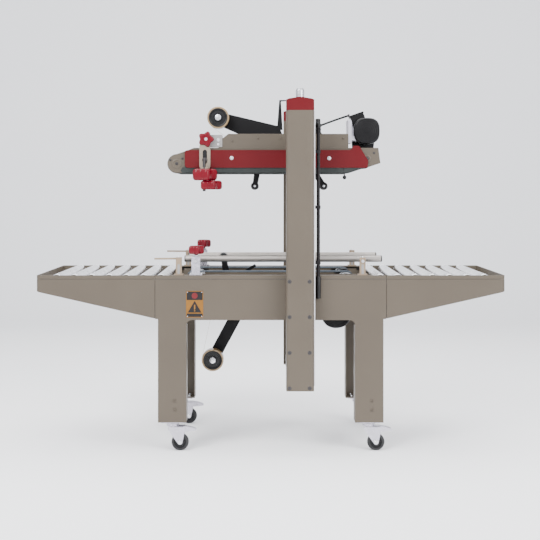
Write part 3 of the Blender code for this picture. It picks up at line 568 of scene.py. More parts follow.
def round_edges(piece, width, segments=2):
    bevel = piece.modifiers.new("rounded_edges", "BEVEL")
    bevel.width = width
    bevel.segments = segments
    bevel.limit_method = "ANGLE"
    bevel.angle_limit = radians(34)
    bevel.harden_normals = True


def keep_node(name, look, bevel=0.0006):
    """A CAD node that stays in view: it gets its finish and rounded edges."""
    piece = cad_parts[name]
    piece.data.materials.clear()
    piece.data.materials.append(look)
    weld = piece.modifiers.new("weld", "WELD")
    weld.merge_threshold = 0.00001
    round_edges(piece, bevel)


# Bed, tables and their fittings

def side_panel(side, label):
    """One side of the bed, with its folded legs, lip groove, foot plates and caster bolts."""
    form = Form()
    corner = 0.020
    seam = BED_HALF - SEAM
    left = [(-LEG[0], LEG_BOTTOM), (-LEG[1], LEG_BOTTOM), (-LEG[1], 0.505), (-seam, 0.505)]
    arch = arc((LEG[0] - corner, PANEL_BOTTOM - corner), corner, 0, 90, 10)
    arch += arc((corner - LEG[0], PANEL_BOTTOM - corner), corner, 90, 180, 10)
    groove = TABLE_TOP - LIP
    outline = left + [(-seam, groove - GROOVE), (seam, groove - GROOVE)]
    outline += [(-x, z) for x, z in left[::-1]] + arch
    outer, inner = side * HALF_WIDTH, side * (HALF_WIDTH - SHEET)
    form.prism(outline, "Y", inner, outer)
    form.prism([(-seam, groove), (-seam, TABLE_TOP), (seam, TABLE_TOP), (seam, groove)], "Y", inner,
               outer)
    # A dark strip behind the lip groove: painted shade in the groove.
    low, high = span(side, HALF_WIDTH - SHEET, HALF_WIDTH - 0.0008)
    form.box((-BED_HALF + 0.002, low, groove - 0.006), (BED_HALF - 0.002, high, groove + 0.006), 3)
    low, high = span(side, HALF_WIDTH - 0.040, HALF_WIDTH - 0.001)
    form.box((-0.385, low, TABLE_TOP - GAP - SHEET), (0.385, high, TABLE_TOP - GAP))
    for end in BOTH:
        for near, far, top in ((LEG[0] + GAP, LEG[0] + GAP + SHEET, PANEL_BOTTOM - corner),
                               (LEG[1] - GAP - SHEET, LEG[1] - GAP, PANEL_BOTTOM)):
            fold = span(end, near, far)
            deep = span(side, HALF_WIDTH - LEG_DEPTH, HALF_WIDTH - 0.001)
            form.box((fold[0], deep[0], LEG_BOTTOM + GAP), (fold[1], deep[1], top))
        foot = span(end, LEG[0] + 2 * GAP, LEG[1] - 2 * GAP)
        deep = span(side, HALF_WIDTH - LEG_DEPTH + GAP, HALF_WIDTH - 0.0012)
        form.box((foot[0], deep[0], LEG_BOTTOM + 2 * GAP), (foot[1], deep[1], LEG_BOTTOM + 0.006))
        middle = end * (LEG[0] + LEG[1]) / 2
        form.prism(rounded((middle - 0.043, side * CASTER_Y - 0.034),
                           (middle + 0.043, side * CASTER_Y + 0.034), 0.006),
                   "Z", 0.1090, LEG_BOTTOM + 0.0008, 1)
        for across in (-0.030, 0.030):
            for deep_y in (-0.022, 0.022):
                form.bolt("Z", (middle + across, side * CASTER_Y + deep_y), LEG_BOTTOM + 0.006, 1,
                          0.0052, 2)
        for height in (0.195, 0.160):
            form.bolt("Y", (middle + 0.010, height), outer, side, 0.0050, 0)
    for x in (-0.405, -0.300, 0.300, 0.405):
        form.bolt("Y", (x, 0.585), inner, -side, 0.0045, 2)
    finish_piece(f"side_panel_{label}", form, [FRAME_PAINT, ZINC, BOLT_BRIGHT, DARK_BOLT_AND_SHADE], "bed",
                 [f"side_frame_{label}"], 0.0007)


def round_hole(outline, centre, radius):
    """The points of a round hole, each facing a point of the outline around it."""
    angles = [atan2(z - centre[1], x - centre[0]) for x, z in outline]
    return [polar(centre, radius, a) for a in angles]


def bored(x, half, base, top):
    """The outline of an upright block, and the hole in it that a guide's rod slides through."""
    outline = rounded((x - half, base), (x + half, top), 0.003, 10)
    return outline, round_hole(outline, (x, GUIDE_Z), 0.0069)


def guide_fittings(side, label):
    """Guide posts, the inlet arm, the rod clamp and its hand knob."""
    low, high = span(side, *POST_Y)
    base = TABLE_TOP - 0.001
    posts = Form()
    posts.box((-POST_X - 0.011, low, base), (0.011 - POST_X, high, POST_TOP))
    posts.plate(*bored(POST_X, 0.011, base, POST_TOP), "Y", low, high)
    for x in (-POST_X, POST_X):
        posts.box((x - 0.0045, low - 0.0004, base + 0.004), (x + 0.0045, high + 0.0004, 0.712), 1)
        posts.bolt("Z", (x, side * KNOB_Y), POST_TOP, 1, 0.0045, 2)
        posts.box((x - 0.018, low - 0.004, base), (x + 0.018, high + 0.004, base + 0.005))
    start, tip = side * (POST_Y[0] + 0.006), side * (POST_Y[0] + 0.020)
    arm = [(-0.345, start - 0.004), (-0.437, tip - 0.0035)] + arc((-0.4395, tip), 0.0035, 270, 90, 6)
    arm += [(-0.437, tip + 0.0035), (-0.345, start + 0.004)]
    posts.prism(arm, "Z", 0.730, 0.7365)
    posts.bolt("Z", (-POST_X, side * KNOB_Y), POST_TOP, 1, 0.0050, 2)
    finish_piece(f"guide_posts_{label}", posts, [POST_PAINT, MOUNT_PAINT, BOLT_BRIGHT], "bed", (),
                 0.0008)

    clamp = Form()
    clamp.plate(*bored(CLAMP_X, 0.016, base, 0.740), "Y", low, high)
    clamp.box((CLAMP_X - 0.024, low - 0.003, base), (CLAMP_X + 0.024, high + 0.003, base + 0.005))
    for x in (-0.020, 0.020):
        clamp.bolt("Z", (CLAMP_X + x, side * KNOB_Y), base + 0.005, 1, 0.0030, 1)
    clamp.turned("Z", (CLAMP_X, side * KNOB_Y), [(0.740, 0.008), (0.742, 0.0125), (0.746, 0.0125),
                                                 (0.7475, 0.008),
                                                (0.752, 0.0055)], 24, 1)
    finish_piece(f"rail_clamp_{label}", clamp, [ZINC, BOLT_BRIGHT], "bed", (), 0.0006)
    knob = Form()
    knob.knob("Z", (CLAMP_X, side * KNOB_Y), 0.7515, 0.0310, 0.031, 5, 0, 1)
    finish_piece(f"rail_knob_{label}", knob, [RED_KNOB, BOLT_BRIGHT], "bed", ())


def table_frame(end, label):
    """A tapered table: folded sheet carried round two rounded corners, braces and bolts."""
    root = BED_HALF + GAP
    tip = LENGTH / 2
    corner = 0.016
    path = [((root, -HALF_WIDTH), (0, -1)), ((tip - corner - 0.001, -HALF_WIDTH), (0, -1))]
    for centre_y, start in ((corner - HALF_WIDTH, -90), (HALF_WIDTH - corner, 0)):
        for step in range(9):
            angle = radians(start + 90 * step / 8)
            way = (cos(angle), sin(angle))
            path.append(((tip - corner + corner * way[0], centre_y + corner * way[1]), way))
    path += [((tip - corner - 0.001, HALF_WIDTH), (0, 1)), ((root, HALF_WIDTH), (0, 1))]
    form = Form()
    groove = TABLE_TOP - LIP
    rings = []
    for (x, y), way in path:
        share = (x - root) / (tip - root)
        bottom = TABLE_ROOT_BOTTOM + share * (TABLE_TOP - TABLE_END_DEPTH - TABLE_ROOT_BOTTOM)
        section = [(0.0, bottom + 0.001), (0.001, bottom), (0.0125, bottom), (0.0125, bottom + SHEET),
                   (SHEET, bottom + SHEET)]
        section += [(SHEET, TABLE_TOP), (0.0008, TABLE_TOP), (0.0, TABLE_TOP - 0.0008), (0.0, groove),
                    (0.0009, groove - 0.0002)]
        section += [(0.0009, groove - GROOVE + 0.0002), (0.0, groove - GROOVE)]
        rings.append([(end * (x - way[0] * inward), y - way[1] * inward, z) for inward, z in section])
    form.skin(rings)
    for x, bottom in TABLE_BRACES:
        low, high = span(end, x, x + 0.030)
        form.prism([(low, bottom), (high, bottom), (high, bottom + 0.020),
                    (high - SHEET, bottom + 0.020),
                    (high - SHEET, bottom + SHEET), (low + SHEET, bottom + SHEET),
                    (low + SHEET, bottom + 0.020),
                    (low, bottom + 0.020)], "Y", SHEET - HALF_WIDTH, HALF_WIDTH - SHEET)
    for side in BOTH:
        step = span(end, root - 0.085, root + 0.045)
        low, high = span(side, HALF_WIDTH - 2 * SHEET - GAP, HALF_WIDTH - SHEET - GAP)
        form.box((step[0], low, 0.560), (step[1], high, 0.620))
        # Dark boxes behind the seam between the table and the side panel: painted shade in the gap.
        seam = span(end, root - 0.006, root + 0.006)
        for bottom, top in ((0.508, 0.5598), (0.6202, 0.640)):
            form.box((seam[0], low, bottom), (seam[1], high, top), 2)
        # A dark strip in the table's lip groove: painted shade in the groove.
        groove_shade_span = span(end, root + 0.002, tip - corner)
        deep = span(side, HALF_WIDTH - 0.0008, HALF_WIDTH - 0.0003)
        form.box((groove_shade_span[0], deep[0], groove - GROOVE + 0.0004), (groove_shade_span[1], deep[1], groove - 0.0004), 2)
        for x in (root - 0.062, root - 0.030, root + 0.024):
            form.bolt("Y", (end * x, 0.590), side * (HALF_WIDTH - 2 * SHEET - GAP), -side, 0.0050, 1)
    finish_piece(f"{label}_table_frame", form, [FRAME_PAINT, BOLT_BRIGHT, DARK_BOLT_AND_SHADE], "bed",
                 [f"{label}_table"], 0.0004)


def roller(node):
    """A gravity roller: chromed tube, rolled ends, pressed-in bearings and a hexagon axle."""
    (x, z), _, high = middle_of(node)
    end = high.y
    barrel = end - 0.006
    radius = ROLLER_RADIUS
    profile = []
    for way in BOTH:
        half = [(barrel - 0.0125, 0.0190), (barrel - 0.0005, 0.0190), (barrel, 0.0196),
                (barrel, radius - 0.0010),
                (barrel - 0.0010, radius), (barrel - 0.0090, radius),
                (barrel - 0.0096, radius - 0.0006),
                (barrel - 0.0110, radius - 0.0006), (barrel - 0.0116, radius)]
        profile += [(way * along, size) for along, size in (half if way < 0 else half[::-1])]
    form = Form()
    form.turned("Y", (x, z), profile, 48, 0, loop=True)
    for way in BOTH:
        face = [(barrel - 0.011, 0.0188), (barrel - 0.0022, 0.0188), (barrel - 0.0022, 0.0160),
                (barrel - 0.0035, 0.0150),
                (barrel - 0.0035, 0.0110), (barrel - 0.0010, 0.0100), (barrel - 0.0002, 0.0090),
                (barrel - 0.0002, 0.0062)]
        form.turned("Y", (x, z), [(way * along, size) for along, size in face], 36, 1)
    form.turned("Y", (x, z), [(-end, 0.0050, 6), (-barrel + 0.003, 0.0052, 6),
                              (barrel - 0.003, 0.0052, 6), (end, 0.0050, 6)], 24, 2)
    replace_node(node, form, [CHROME, BLACK_PLASTIC, SHAFT_STEEL], node, 0, (x, 0, z))


def guide_rail(side, label):
    """A carton guide tube with end plugs, on two rods held by pressed collars."""
    form = Form()
    y = side * GUIDE_Y
    start, end = GUIDE_ENDS
    form.turned("X", (y, GUIDE_Z), [(start, 0.0122), (start + 0.001, 0.0130), (end - 0.001, 0.0130),
                                    (end, 0.0122)], 40)
    for place, way in ((start, -1), (end, 1)):
        form.turned("X", (y, GUIDE_Z), [(place - way * 0.001, 0.0132), (place + way * 0.0020, 0.0130),
                                        (place + way * 0.0036, 0.0105),
                                        (place + way * 0.0040, 0.0060)], 36, 1)
    for x in (CLAMP_X, POST_X):
        form.rod("Y", (x, GUIDE_Z), side * 0.124, side * 0.297, 0.0060, 28, 2)
        form.turned("Y", (x, GUIDE_Z), [(side * 0.1300, 0.0112), (side * 0.1345, 0.0112),
                                        (side * 0.1352, 0.0088),
                                        (side * 0.1385, 0.0088), (side * 0.1390, 0.0078)], 28, 0)
    finish_piece(f"carton_guide_{label}", form, [SATIN_TUBE, BLACK_PLASTIC, BOLT_BRIGHT],
                 f"guide_rail_{label}",
                 [f"guide_rail_{label}"])


def label_plate():
    """A generic warning plate: amber field, dark band, and a plain hazard shape."""
    form = Form()
    face = -HALF_WIDTH
    form.prism(rounded((LABEL_X - 0.0325, 0.511), (LABEL_X + 0.0325, 0.612), 0.004), "Y", face,
               face - 0.0008, 0)
    for low, high in ((0.5775, 0.6095), (0.5135, 0.5260)):
        band = rounded((LABEL_X - 0.0300, low), (LABEL_X + 0.0300, high), 0.002)
        form.prism(band, "Y", face - 0.0008, face - 0.0012, 1)
    outer = [(LABEL_X + x, 0.5300 + z) for x, z in ((-0.026, 0.0), (0.026, 0.0), (0.0, 0.0445))]
    form.prism(outer, "Y", face - 0.0008, face - 0.0014, 1)
    form.turned("Y", (LABEL_X, 0.5935), [(face - 0.0010, 0.0115), (face - 0.0017, 0.0112)], 40, 2)
    form.prism(rounded((LABEL_X - 0.0025, 0.5415), (LABEL_X + 0.0025, 0.5600), 0.0015), "Y",
               face - 0.0014, face - 0.0018, 0)
    form.turned("Y", (LABEL_X, 0.5365), [(face - 0.0014, 0.0026), (face - 0.0018, 0.0025)], 20, 0)
    for x in (LABEL_X - 0.0270, LABEL_X + 0.0270):
        for z in (0.5160, 0.6070):
            form.turned("Y", (x, z), [(face - 0.0010, 0.0019), (face - 0.0019, 0.0016)], 16, 3)
    finish_piece("warning_plate", form, [LABEL_AMBER, LABEL_DARK, LABEL_RED, BOLT_BRIGHT], "bed", ())


def caster(corner):
    """A swivel caster: pressed fork, ball race, brake pedal, and a tyred wheel with a hub."""
    wheel_node, fork_node = "caster_wheel_" + corner, "caster_fork_" + corner
    axle, low, high = middle_of(wheel_node)
    y = (low.y + high.y) / 2
    x = axle[0] - 0.028
    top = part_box(fork_node)[1].z
    wheel = Form()
    edge = 0.012
    tread = [(y - edge, 0.0225), (y - edge, 0.0270), (y - edge + 0.0010, 0.0300),
             (y - edge + 0.0035, 0.0322),
             (y - edge + 0.0070, 0.0330), (y + edge - 0.0070, 0.0330), (y + edge - 0.0035, 0.0322),
             (y + edge - 0.0010, 0.0300), (y + edge, 0.0270), (y + edge, 0.0225)]
    wheel.turned("Y", axle, tread, 72, 0, loop=True)
    hub = [(y - edge + 0.0010, 0.0056), (y - edge + 0.0010, 0.0095), (y - edge + 0.0036, 0.0105),
           (y - edge + 0.0040, 0.0195),
           (y - edge + 0.0006, 0.0215), (y - edge + 0.0006, 0.0226)]
    wheel.turned("Y", axle, hub + [(2 * y - along, size) for along, size in hub[::-1]], 60, 1,
                 loop=True)
    for spoke in range(6):
        angle = tau * spoke / 6
        middle = polar(axle, 0.0148, angle)
        rib = turned_about([(-0.0050, -0.0012), (0.0050, -0.0012), (0.0050, 0.0012),
                            (-0.0050, 0.0012)], middle, angle)
        wheel.prism(rib, "Y", y - edge + 0.0012, y + edge - 0.0012, 1)
    replace_node(wheel_node, wheel, [TYRE, BLACK_PLASTIC], wheel_node, 0,
                 (axle[0], y, axle[1]))

    fork = Form()
    half = edge + 0.002
    cheek = wrap(((x, 0.0850, 0.0170), (x + 0.036, 0.0850, 0.0120), (*axle, 0.0095)), steps=40)
    cheek = [(px, min(pz, 0.0935)) for px, pz in cheek]
    for way in BOTH:
        fork.prism(cheek, "Y", y + way * half, y + way * (half + 0.0025))
        fork.turned("Y", axle, [(y + way * (half + 0.0020), 0.0078, 6),
                                (y + way * (half + 0.0046), 0.0078, 6),
                                (y + way * (half + 0.0050), 0.0066)], 24, 1)
    fork.prism(rounded((x - 0.0175, y - half - 0.0025), (x + 0.0480, y + half + 0.0025), 0.006), "Z",
               0.0905, 0.0940)
    race = [(0.0935, 0.0225), (0.0955, 0.0235), (0.0980, 0.0235), (0.0990, 0.0215), (0.1010, 0.0215),
            (0.1020, 0.0245),
            (0.1045, 0.0250), (0.1062, 0.0235), (top, 0.0180)]
    fork.turned("Z", (x, y), race, 48)
    fork.turned("Z", (x, y), [(0.0905, 0.0085, 6), (0.0850, 0.0085, 6), (0.0842, 0.0070)], 24, 1)
    pedal = [(x + 0.044, 0.0800), (x + 0.044, 0.0940), (x + 0.060, 0.0920), (x + 0.086, 0.0838),
             (x + 0.0898, 0.0795),
             (x + 0.0885, 0.0768), (x + 0.0780, 0.0752), (x + 0.0620, 0.0740), (x + 0.0500, 0.0725)]
    fork.prism(pedal, "Y", y - 0.013, y + 0.013)
    for step in range(4):
        ridge = x + 0.066 + 0.0055 * step
        height = 0.0908 - 0.31 * (ridge - x - 0.064)
        fork.box((ridge, y - 0.0115, height - 0.001), (ridge + 0.0022, y + 0.0115, height + 0.0010), 0)
    replace_node(fork_node, fork, [ZINC, BOLT_BRIGHT], fork_node, 0.0005, (x, y, top))


# Belts, pulleys and drives

def belt(name, body, loop, side, look):
    """A flat belt round its pulleys, with fine lengthwise ribs outside and soft edges."""
    near, far = BELT_Y
    section = [(near, -0.0030), (near + 0.0006, -BELT_THICKNESS + 0.0001),
               (far - 0.0006, -BELT_THICKNESS + 0.0001), (far, -0.0030)]
    section += [(far, -0.0008)]
    ribs = 11
    pitch = (far - near - 0.002) / ribs
    for rib in reversed(range(ribs)):
        start = near + 0.001 + rib * pitch
        section += [(start + pitch * 0.85, 0.0), (start + pitch * 0.35, 0.0),
                    (start + pitch * 0.28, -0.0007), (start + pitch * 0.02, -0.0007)]
    section += [(near, -0.0008)]
    rings = []
    base = wrap(loop)
    count = len(base)
    for index, (x, z) in enumerate(base):
        before, after = base[index - 1], base[(index + 1) % count]
        run = Vector((after[0] - before[0], after[1] - before[1])).normalized()
        outward = (run.y, -run.x)
        rings.append([(x + outward[0] * grow, side * y, z + outward[1] * grow) for y, grow in section])
    form = Form()
    form.skin(rings, 0, loop=True)
    replace_node(name, form, [look], body, 0, sharp=28)


def pulley_shaft(node, radius, shaft):
    """A shaft with two crowned, flanged pulleys and their collars."""
    (x, z), low, high = middle_of(node)
    form = Form()
    form.rod("Y", (x, z), low.y, high.y, shaft, 32, 1)
    for side in BOTH:
        near, far = BELT_Y[0] + 0.002, BELT_Y[1] - 0.002
        rim = radius - BELT_THICKNESS - 0.0006
        web = [(near, shaft + 0.0005), (near, rim - 0.0035), (near + 0.0008, rim - 0.0009)]
        web += [(near + 0.010, rim), (far - 0.010, rim), (far - 0.0008, rim - 0.0009),
                (far, rim - 0.0035), (far - 0.004, rim - 0.005)]
        web += [(far - 0.004, shaft + 0.006), (far - 0.0005, shaft + 0.005),
                (far - 0.0005, shaft + 0.0005)]
        form.turned("Y", (x, z), [(side * along, size) for along, size in web], 48)
    replace_node(node, form, [SHAFT_STEEL, TURNED], node, 0, (x, 0, z))


def squarish(centre, radius, roundness, steps=64):
    """A circle pushed a little towards a square."""
    outline = []
    for step in range(steps):
        angle = tau * step / steps
        reach = radius * (1 - roundness + roundness * (1 - cos(4 * angle)) / 2)
        outline.append(polar(centre, reach, angle))
    return outline


def gearmotor(motor, radius, shaft, front, square):
    """A finned motor with a fan cover and grille, on its gearbox."""
    form = Form()
    rings = []
    for along, scale in ((0.0, 0.86), (0.0025, 0.94), (0.006, 0.985), (0.012, 1.0), (0.044, 1.0),
                         (0.0455, 0.985)):
        rings.append([at("Y", front + along,
                         point) for point in squarish(motor, radius * scale, square)])
    form.skin(rings)
    for reach in (0.82, 0.68, 0.54, 0.40, 0.26):
        ring = radius * reach
        form.turned("Y", motor, [(front - 0.0016, ring - 0.0018), (front - 0.0016, ring + 0.0018),
                                 (front + 0.003, ring + 0.0018),
                                 (front + 0.003, ring - 0.0018)], 64, 0, loop=True)
    for spoke in range(8):
        angle = tau * (spoke + 0.5) / 8
        middle = polar(motor, radius * 0.50, angle)
        bar = turned_about([(-radius * 0.34, -0.0014), (radius * 0.34, -0.0014),
                            (radius * 0.34, 0.0014), (-radius * 0.34, 0.0014)],
                           middle, angle)
        form.prism(bar, "Y", front - 0.0012, front + 0.003)
    form.rod("Y", motor, front - 0.0018, front + 0.004, radius * 0.15, 32)
    for screw in range(4):
        angle = tau * screw / 4 + 0.6
        form.bolt("Y", polar(motor, radius * 0.864, angle),
                  front + 0.0035, -1, 0.0026, 1, False)
    end = 0.012
    form.rod("Y", motor, front + 0.044, end, radius * 0.83, 56)
    for fin in range(36):
        angle = tau * fin / 36
        middle = polar(motor, radius * 0.87, angle)
        blade = turned_about([(-radius * 0.07, -0.0009), (radius * 0.065, -0.0007),
                              (radius * 0.065, 0.0007), (-radius * 0.07, 0.0009)],
                             middle, angle)
        form.prism(blade, "Y", front + 0.050, end - 0.016)
    form.rod("Y", motor, end - 0.014, end - 0.002, radius * 0.94, 56, 0, 0.002)
    case = ((*motor, 0.048), (shaft[0], shaft[1], 0.036))
    for start, stop, grow in ((0.008, 0.012, -0.002), (0.012, 0.038, 0.0), (0.0384, 0.0446, 0.0012),
                              (0.045, 0.071, 0.0), (0.071, 0.075, -0.002)):
        form.prism(wrap(case, grow, 48), "Y", start, stop)
    for centre, reach in ((motor, 0.040), (shaft[:2], 0.029)):
        for bolt in range(6):
            angle = tau * bolt / 6 + 0.3
            form.bolt("Y", polar(centre, reach, angle), 0.075, 1, 0.0028, 1, False)
    form.turned("Y", shaft[:2], [(0.075, 0.0200), (0.078, 0.0192), (0.078, 0.0125), (0.0755, 0.0118)],
                40, 1)
    return form


def upper_drive():
    form = gearmotor(UPPER_MOTOR, 0.056, UPPER_LOOP[2], -0.165, 0.09)
    box_at, tilt = (0.347, 1.273), radians(19)
    case = turned_about(rounded((-0.027, -0.025), (0.027, 0.016), 0.004), box_at, tilt)
    lid = turned_about(rounded((-0.0285, 0.0165), (0.0285, 0.025), 0.003), box_at, tilt)
    form.prism(case, "Y", -0.124, -0.046)
    form.prism(lid, "Y", -0.125, -0.045)
    finish_piece("upper_motor_unit", form, [BLACK_PAINT, BOLT_BRIGHT], "upper_head",
                 ["upper_gearmotor"], 0.0006)
    bracket = Form()
    left = 0.3053
    bracket.prism([(left, 1.180), (left + 0.0140, 1.180), (left + 0.0140, 1.1900), (0.347, 1.190),
                   (0.347, 1.200),
                   (left + 0.0140, 1.208), (left + 0.0140, 1.262), (left + 0.010, 1.272),
                   (left, 1.272)], "Y", -0.140, -0.020)
    for y in (-0.1280, -0.0320):
        bracket.prism([(left + 0.012, 1.262), (left + 0.012, 1.196), (0.341, 1.196)], "Y", y, y + 0.004)
        for z in (1.196, 1.252):
            bracket.bolt("X", (y + 0.012, z), left + 0.0142, 1, 0.0046, 1)
    finish_piece("motor_bracket", bracket, [LILAC_PLATE, BOLT_BRIGHT], "upper_head", (),
                 0.0008)


def lower_drive():
    form = gearmotor(LOWER_MOTOR, 0.060, LOWER_LOOP[1], -0.150, 0.03)
    form.prism(rounded((0.215, 0.540), (0.300, 0.578), 0.004), "Y", -0.120, -0.050)
    form.prism(rounded((0.2135, 0.5785), (0.3015, 0.585), 0.003), "Y", -0.1212, -0.0488)
    finish_piece("lower_motor_unit", form, [BLACK_PAINT, BOLT_BRIGHT], "bed", ["lower_gearmotor"],
                 0.0006)


# Lifting head

def belt_cover(side, label):
    """The red pressed cover: folded rim, raised tab, and its bolts."""
    outline = arc((-0.322, 1.138), 0.013, 180, 90, 8)
    outline += [(0.310, 1.151), (0.316, 1.154), (0.322, 1.166), (0.326, 1.168), (0.342, 1.168),
                (0.347, 1.166), (0.381, 1.110),
                (0.3815, 1.104), (0.378, 1.082)]
    outline += arc((-0.322, 1.095), 0.013, 270, 180, 8)
    form = Form()
    form.prism(outline, "Y", side * COVER_Y[0], side * COVER_Y[1])
    low, high = span(side, 0.1603, 0.1690)
    for bottom in (1.0822, 1.1480):
        form.box((-0.318, low, bottom), (0.306, high, bottom + 0.0030))
    for x, z in COVER_BOLTS:
        form.bolt("Y", (x, z), side * COVER_Y[1], side, 0.0056, 1)
    ridge = rounded((-0.322, 1.1445), (0.308, 1.1485), 0.0015)
    form.prism(ridge, "Y", side * COVER_Y[1], side * (COVER_Y[1] + 0.0006))
    edge = rounded((-0.3352, 1.0840), (-0.3230, 1.1490), 0.0055)
    form.prism(edge, "Y", side * 0.1605, side * 0.1698, 2)
    # A dark band under each cover, in front of the belt: painted shade beneath the cover.
    shade_band = Form()
    line = [(-0.345, 1.0835), (-0.352, 1.0700), (-0.345, 1.0625), (0.300, 1.0625), (0.352, 1.0770),
            (0.372, 1.0835)]
    shade_band.prism(line, "Y", side * 0.1603, side * 0.1650)
    shade_band.prism(rounded((-0.330, 1.0640), (0.290, 1.0690), 0.002), "Y", side * 0.1650, side * 0.1660)
    finish_piece(f"belt_shade_band_{label}", shade_band, [DARK_BELT_AND_SHADE], "upper_head", (), 0.0006)
    finish_piece(f"belt_cover_{label}_piece", form, [RED_PAINT, BOLT_BRIGHT, BLACK_PLASTIC],
                 "upper_head",
                 [f"belt_cover_{label}"], 0.0007)


def adjuster():
    """The slotted bracket, its pale mount block, and three lobed hand knobs on studs."""
    form = Form()
    front = -COVER_FACE
    form.plate(stadium(ADJUSTER_X, 1.0700, 1.1845, 0.0215, 14),
               stadium(ADJUSTER_X, 1.0960, 1.1520, 0.0085, 14), "Y",
               front, front - 0.004)
    form.prism(stadium(ADJUSTER_X, 1.0920, 1.1560, 0.0120, 14), "Y", front + 0.0002, front - 0.0006, 2)
    form.turned("Y", (ADJUSTER_X, 1.112), [(front - 0.004, 0.0105), (front - 0.0055, 0.0105),
                                           (front - 0.0055, 0.0072, 6),
                                        (front - 0.0105, 0.0072, 6), (front - 0.0112, 0.0060)], 24, 1)
    form.rod("Z", (-0.257, -0.211), 0.990, 1.118, 0.0060, 24, 1)
    form.box((-0.270, -0.2160, 1.0775), (-0.244, front - 0.002, 1.0835), 0)
    form.rod("Y", (-0.252, 1.193), -0.166, -0.158, 0.0100, 24, 1)
    finish_piece("adjuster_bracket", form, [CREAM_PAINT, DARK_BOLT_AND_SHADE, BLACK_PLASTIC], "upper_head",
                 ["squeeze_adjuster"], 0.0005)
    for name, axis, centre, start, height, radius in ADJUSTER_KNOBS:
        knob = Form()
        knob.knob(axis, centre, start, height, radius, 5, 0, 1)
        finish_piece(f"adjuster_knob_{name}", knob, [RED_KNOB, BOLT_BRIGHT], "upper_head", ())
    block = Form()
    block.prism(rounded((-0.2628, 1.1632), (-0.1892, 1.2108), 0.003), "Y", -0.1603, -0.1092)
    block.bolt("Y", (-0.205, 1.191), -0.1603, -1, 0.0050, 1)
    block.bolt("Y", (-0.205, 1.174), -0.1603, -1, 0.0036, 1)
    finish_piece("adjuster_block", block, [MOUNT_PAINT, BOLT_BRIGHT], "upper_head", (),
                 0.0010)


def head_fittings():
    """Bolts, bearing rings and small hardware on the lifting head."""
    form = Form()
    for side in BOTH:
        face = side * HEAD_FACE
        for centre, ring in ((UPPER_LOOP[0][:2], 0.019), (UPPER_LOOP[2][:2], 0.015)):
            form.turned("Y", centre, [(face, ring), (face + side * 0.0025, ring),
                                      (face + side * 0.0035, ring - 0.002),
                                      (face + side * 0.0035, ring - 0.006),
                                      (face + side * 0.0020, ring - 0.007)], 40, 1)
            form.bolt("Y", centre, face + side * 0.0018, side, 0.0048, 0)
        for x, z in ((-0.392, 1.112), (-0.345, 1.118), (0.405, 1.140)):
            form.bolt("Y", (x, z), face, side, 0.0034, 0)
        for x, z in ((-0.150, 1.186), (-0.050, 1.197), (0.040, 1.197), (0.190, 1.197), (0.284, 1.197)):
            form.bolt("Y", (x, z), side * 0.158, side, 0.0036, 1)
        for z in (1.148, 1.222):
            form.bolt("Y", (COLUMN_X, z), side * 0.308, -side, 0.0045, 0)
    finish_piece("head_fasteners", form, [DARK_BOLT_AND_SHADE, FRAME_PAINT], "upper_head", ())
    boot = Form()
    stub = (0.187, -0.128)
    boot.turned("Z", stub, [(1.2152, 0.0150), (1.2200, 0.0150), (1.2210, 0.0118), (1.2300, 0.0112),
                            (1.2320, 0.0122), (1.2360, 0.0122),
                            (1.2380, 0.0108), (1.2440, 0.0106), (1.2460, 0.0118), (1.2500, 0.0118),
                            (1.2520, 0.0104),
                            (1.2640, 0.0100), (1.2735, 0.0094), (1.2758, 0.0060)], 32)
    finish_piece("cable_boot", boot, [BLACK_PLASTIC], "upper_head", ())
    hook = Form()
    path = [(0.286, -0.163, 1.084), (0.286, -0.163, 1.072), (0.288, -0.163, 1.060),
            (0.289, -0.163, 1.050)]
    hook.sweep(path, 0.0026, 12)
    hook.turned("Z", (0.289, -0.163), [(1.036, 0.0020), (1.038, 0.0054), (1.042, 0.0074),
                                       (1.046, 0.0074), (1.050, 0.0054),
                                       (1.052, 0.0020)], 28)
    finish_piece("head_hook", hook, [BLACK_PLASTIC], "upper_head", ())


# Tape heads

def tape_roll(node, centre):
    """A nearly used roll: wound tape, board core, and a spoked black hub."""
    form = Form()
    half = TAPE_HALF
    form.turned("Y", centre, [(-half + 0.0010, 0.0386), (-half, 0.0392), (-half, 0.0434),
                              (-half + 0.0006, 0.0440),
                              (half - 0.0006, 0.0440), (half, 0.0434), (half, 0.0392),
                              (half - 0.0010, 0.0386)], 96, 0, loop=True)
    form.turned("Y", centre, [(-half + 0.0002, 0.0362), (-half + 0.0002, 0.0390),
                              (half - 0.0002, 0.0390), (half - 0.0002, 0.0362)],
                72, 1, loop=True)
    hub = [(-half - 0.0018, 0.0092), (-half - 0.0018, 0.0150), (-half - 0.0005, 0.0160),
           (-half + 0.004, 0.0170), (-half + 0.004, 0.0300),
           (-half - 0.0010, 0.0318), (-half - 0.0018, 0.0330), (-half - 0.0018, 0.0372),
           (-half - 0.0004, 0.0378)]
    form.turned("Y", centre, hub + [(-along, size) for along, size in hub[::-1]], 72, 2, loop=True)
    for spoke in range(5):
        angle = tau * spoke / 5 + 0.3
        middle = polar(centre, 0.0235, angle)
        rib = turned_about([(-0.0085, -0.0022), (0.0085, -0.0016), (0.0085, 0.0016),
                            (-0.0085, 0.0022)], middle, angle)
        form.prism(rib, "Y", -half - 0.0008, half + 0.0008, 2)
    form.turned("Y", centre, [(-half - 0.0022, 0.0094), (-half - 0.0030, 0.0112),
                              (-half - 0.0020, 0.0124),
                              (-half - 0.0016, 0.0094)], 24, 3, loop=True)
    replace_node(node, form, [TAPE_SIDE, CARDBOARD, BLACK_PLASTIC, ZINC], node, 0,
                 (centre[0], 0, centre[1]))


